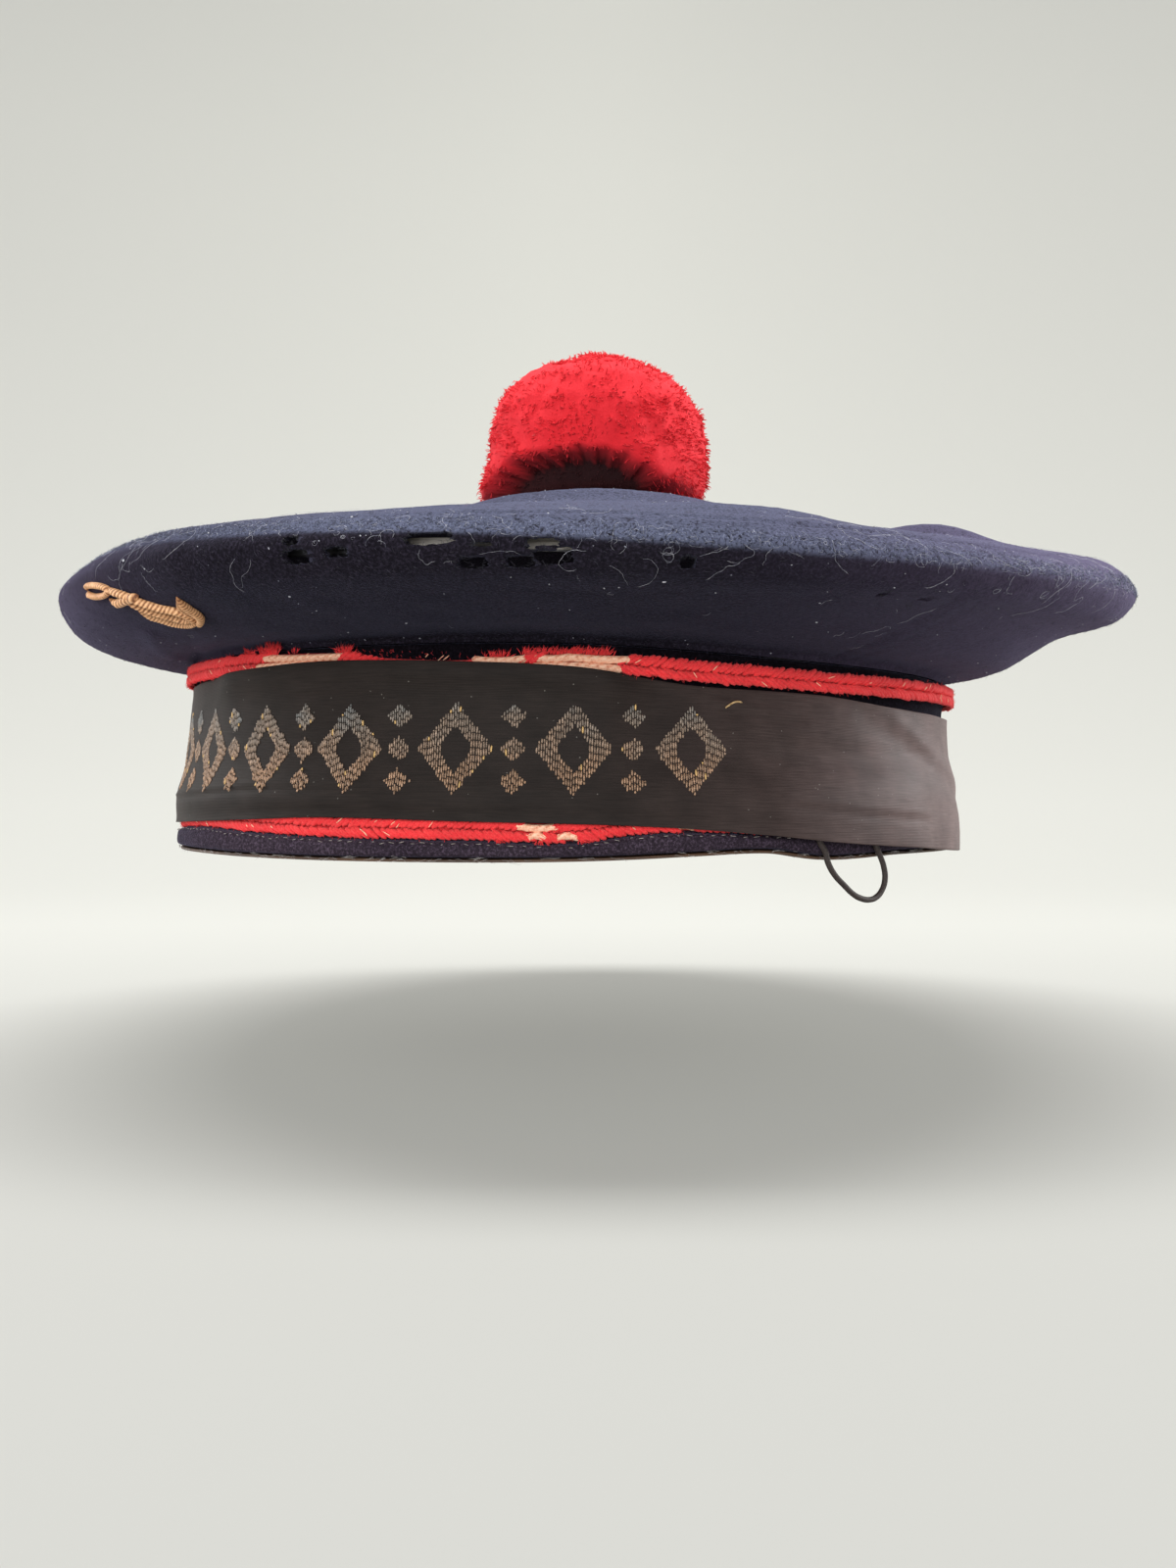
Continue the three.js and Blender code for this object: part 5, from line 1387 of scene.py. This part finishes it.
badge_cords = [  # width, height, wrap pitch, twist, then places as (aside, distance up from the seam)
    (1.26, 1.36, 0.7, 1.0, [
        (-13.6, 40.6), (-13.0, 41.4), (-10.4, 41.9), (-7.0, 41.9), (-4.0, 41.5), (-3.1, 40.7), (-6.4, 39.7),
        (-9.9, 39.5), (-12.3, 39.9), (-13.5, 40.5),
    ]),
    (1.48, 1.52, 0.9, 1.0, [
        (-3.9, 41.2), (1.1, 40.0), (4.0, 38.6), (6.2, 36.8), (8.8, 34.7), (11.2, 32.9), (12.0, 30.0), (11.4, 27.1),
    ]),
    (1.2, 1.3, 0.9, 1.0, [
        (-0.6, 38.8), (1.4, 37.3), (2.4, 35.6), (3.5, 34.2), (5.0, 32.2), (6.6, 30.2), (8.4, 28.4), (10.4, 27.6),
    ]),
    (1.05, 0.70, 0.62, 0.0, [(1.8, 38.3), (3.9, 36.6), (6.0, 34.6), (8.2, 31.9), (9.8, 29.2)]),
    (2.0, 1.6, 1.5, 1.0, [(-6.0, 38.6), (-3.3, 37.7), (1.1, 38.6), (4.4, 39.2), (5.6, 39.3)]),
    (1.2, 1.2, 0.8, 1.0, [(-0.9, 34.2), (0.2, 31.8), (1.8, 29.2), (3.6, 27.0), (6.8, 25.8), (10.6, 26.4)]),
    (1.63, 1.6, 0.8, 1.0, [(16.4, 38.2), (15.9, 35.3), (15.6, 33.4), (15.2, 30.1), (13.6, 27.8), (11.0, 26.2)]),
    (1.15, 1.10, 0.8, 1.0, [(15.4, 36.9), (13.8, 34.6), (12.8, 31.2), (12.6, 28.4)]),
]
BADGE_AT, BADGE_REACH = -47, 126
BADGE_STEP, BADGE_SIDES = 0.16, 18


def badge_place(aside, from_seam):
    """Places on the crown's cloth, with its normals, by the distance aside and the distance up the slope."""
    angle = BADGE_AT + np.degrees(aside / BADGE_REACH)
    stations = np.linspace(0, 6.5, 260)
    arc = arc_along(crown_surface(angle[:, None], stations[None]))
    return crown_place(angle, np.array([np.interp(wanted, row, stations) for wanted, row in zip(from_seam, arc)]))


anchor_parts = []
turns = np.arange(BADGE_SIDES) * 2 * math.pi / BADGE_SIDES
for width, height, pitch, twist, path in badge_cords:
    curve = smooth_curve(np.array([path], float), np.arange(40 * (len(path) - 1) + 1) / 40)
    arc = arc_along(curve)
    at = np.linspace(0, arc[-1], max(int(arc[-1] / BADGE_STEP), 5))
    place, normal = badge_place(*(np.interp(at, arc, column) for column in curve.T))
    along = unit(np.gradient(place, axis=0))
    side = unit(np.cross(normal, along))
    normal = np.cross(along, side)
    wrapped = 0.5 - 0.5 * np.cos(2 * math.pi * at[:, None] / pitch + twist * 2 * turns)
    uneven = 1 + 0.05 * grain(place / MM, 0.8, 31)[:, None]
    ends = np.sqrt(np.clip(np.minimum(at / 3.0, (at[-1] - at) / 1.1), 0.03, 1))[:, None]
    size = (0.93 + 0.08 * wrapped) * uneven * ends
    across = 0.5 * width * np.cos(turns) * size
    rise = height * (0.42 + 0.58 * np.sin(turns)) * size * np.where(np.sin(turns) < 0, 0.5, 1)
    rings = place[:, None] + MM * (across[..., None] * side[:, None] + (rise + 0.12)[..., None] * normal[:, None])
    anchor_parts.append(make_tube("anchor_cord", rings, "groove", (wrapped * ends).reshape(-1)))
anchor = join_parts(anchor_parts, "rope_anchor")


def paint_gilt_cord():
    """Gilt thread over cord, gone to a warm tan: pale on the turns of the wrap, dark between them."""
    gilt = Surface("gilt_cord")
    threads = gilt.noise(1500, 4, 0.7)
    tone = gilt.combine("MULTIPLY_ADD", gilt.read("groove"), 0.45, gilt.combine("MULTIPLY", threads, 0.6))
    tone = gilt.combine("MULTIPLY_ADD", gilt.noise(260, 3), 0.25, tone)
    stops = (0.42, (0.17, 0.055, 0.020)), (0.60, (0.60, 0.29, 0.125)), (0.90, (0.96, 0.58, 0.32))
    return gilt.shade(gilt.ramp(tone, *stops), (threads, 0.6, 0.0003), 0.6)


finish(anchor, paint_gilt_cord(), ["anchor_badge"])


# ---------- floor and light ----------
# A pale seamless sweep, and a studio's soft light: a wide box overhead, and weaker ones from both sides.

FLOOR, BEND_FROM, BEND_RADIUS, SWEEP_SIDES = -0.0515, 0.6, 0.9, 128
bend = np.arange(1, 25) / 24 * math.pi / 2
away = np.concatenate([[0.0, 0.3, BEND_FROM], BEND_FROM + BEND_RADIUS * np.sin(bend), [BEND_FROM + BEND_RADIUS]])
height = np.concatenate([[FLOOR] * 3, FLOOR + BEND_RADIUS * (1 - np.cos(bend)), [1.3]])
turns = np.arange(SWEEP_SIDES + 1)[:, None] % SWEEP_SIDES * 2 * math.pi / SWEEP_SIDES
sweep = make_grid("studio_sweep", np.stack([away * np.cos(turns), away * np.sin(turns), height + 0 * turns], -1))
edit_all(remove_doubles={"threshold": 1e-6})
bpy.ops.object.shade_smooth()


def paint_sweep():
    """Pale matt paper, lit a little from within, as light thrown back by the room would: a painted glow, weaker near
    the middle round the cap's shadow and towards the sides, with the paper's colour darkened towards the camera side as
    painted falloff of light.
    """
    paper = Surface("pale_sweep")
    x, y = (paper.node("SeparateXYZ", {0: paper.place}, axis) for axis in "XY")
    level = paper.node("CombineXYZ", {"X": x, "Y": y})
    # Painted light: the glow is weaker near the middle, round the cap's shadow, and weaker towards the sides.
    outer = paper.between(paper.node("VectorMath", {0: level}, "Value", operation="LENGTH"), 0.16, 0.9)
    glow = paper.ramp(outer, (0.0, (0.262, 0.262, 0.246)), (1.0, (0.400, 0.400, 0.374)))
    sideways = paper.between(paper.combine("ABSOLUTE", y), 0.05, 0.75)
    dimmer = paper.ramp(sideways, (0.0, 1.0), (1.0, (0.77, 0.77, 0.785)))
    paper.put(paper.mix(glow, dimmer), paper.shader["Emission Color"])
    paper.put(1.0, paper.shader["Emission Strength"])
    # Painted falloff of light: the paper's colour darkens towards the camera side.
    painted_falloff = paper.ramp(paper.between(x, -0.30, 0.26), (0.0, (0.53, 0.53, 0.497)), (1.0, (0.36, 0.36, 0.342)))
    return paper.shade(painted_falloff, None, 0.95, 0.1)


sweep.data.materials.append(paint_sweep())

# The lights from the sides are there for the cap alone, so only the overhead box draws its shadow on the sweep.
cap_pieces = bpy.data.collections.new("cap_pieces")
for thing in bpy.context.scene.objects:
    if thing.type in {"MESH", "CURVE"} and thing != sweep:
        cap_pieces.objects.link(thing)


def add_soft_box(name, place, aim, size, power, cap_only=True):
    light = bpy.data.lights.new(name, "AREA")
    light.shape = "RECTANGLE"
    light.size, light.size_y = size
    light.energy = power
    box = bpy.data.objects.new(name, light)
    box.location = place
    box.rotation_euler = (Vector(aim) - Vector(place)).to_track_quat("-Z", "Y").to_euler()
    bpy.context.scene.collection.objects.link(box)
    box.visible_camera = False
    if cap_only:
        box.light_linking.receiver_collection = cap_pieces


add_soft_box("overhead_box", (0.0, -0.02, 1.05), (0, 0, 0), (0.28, 1.0), 11.5, cap_only=False)
add_soft_box("front_box", (-0.25, -1.15, 0.30), (0, 0, 0.03), (0.5, 0.9), 11)
add_soft_box("back_box", (-0.25, 1.15, 0.30), (0, 0, 0.03), (0.5, 0.9), 22)
add_soft_box("left_box", (0.80, -0.18, 0.17), (0, 0, 0.04), (0.8, 0.34), 4.5)
world = bpy.data.worlds.new("studio_air")
world.use_nodes = True
background = world.node_tree.nodes["Background"].inputs
background["Color"].default_value = (0.96, 0.97, 1.0, 1)
background["Strength"].default_value = 0.35
bpy.context.scene.world = world
bpy.context.scene.view_settings.view_transform = "Standard"
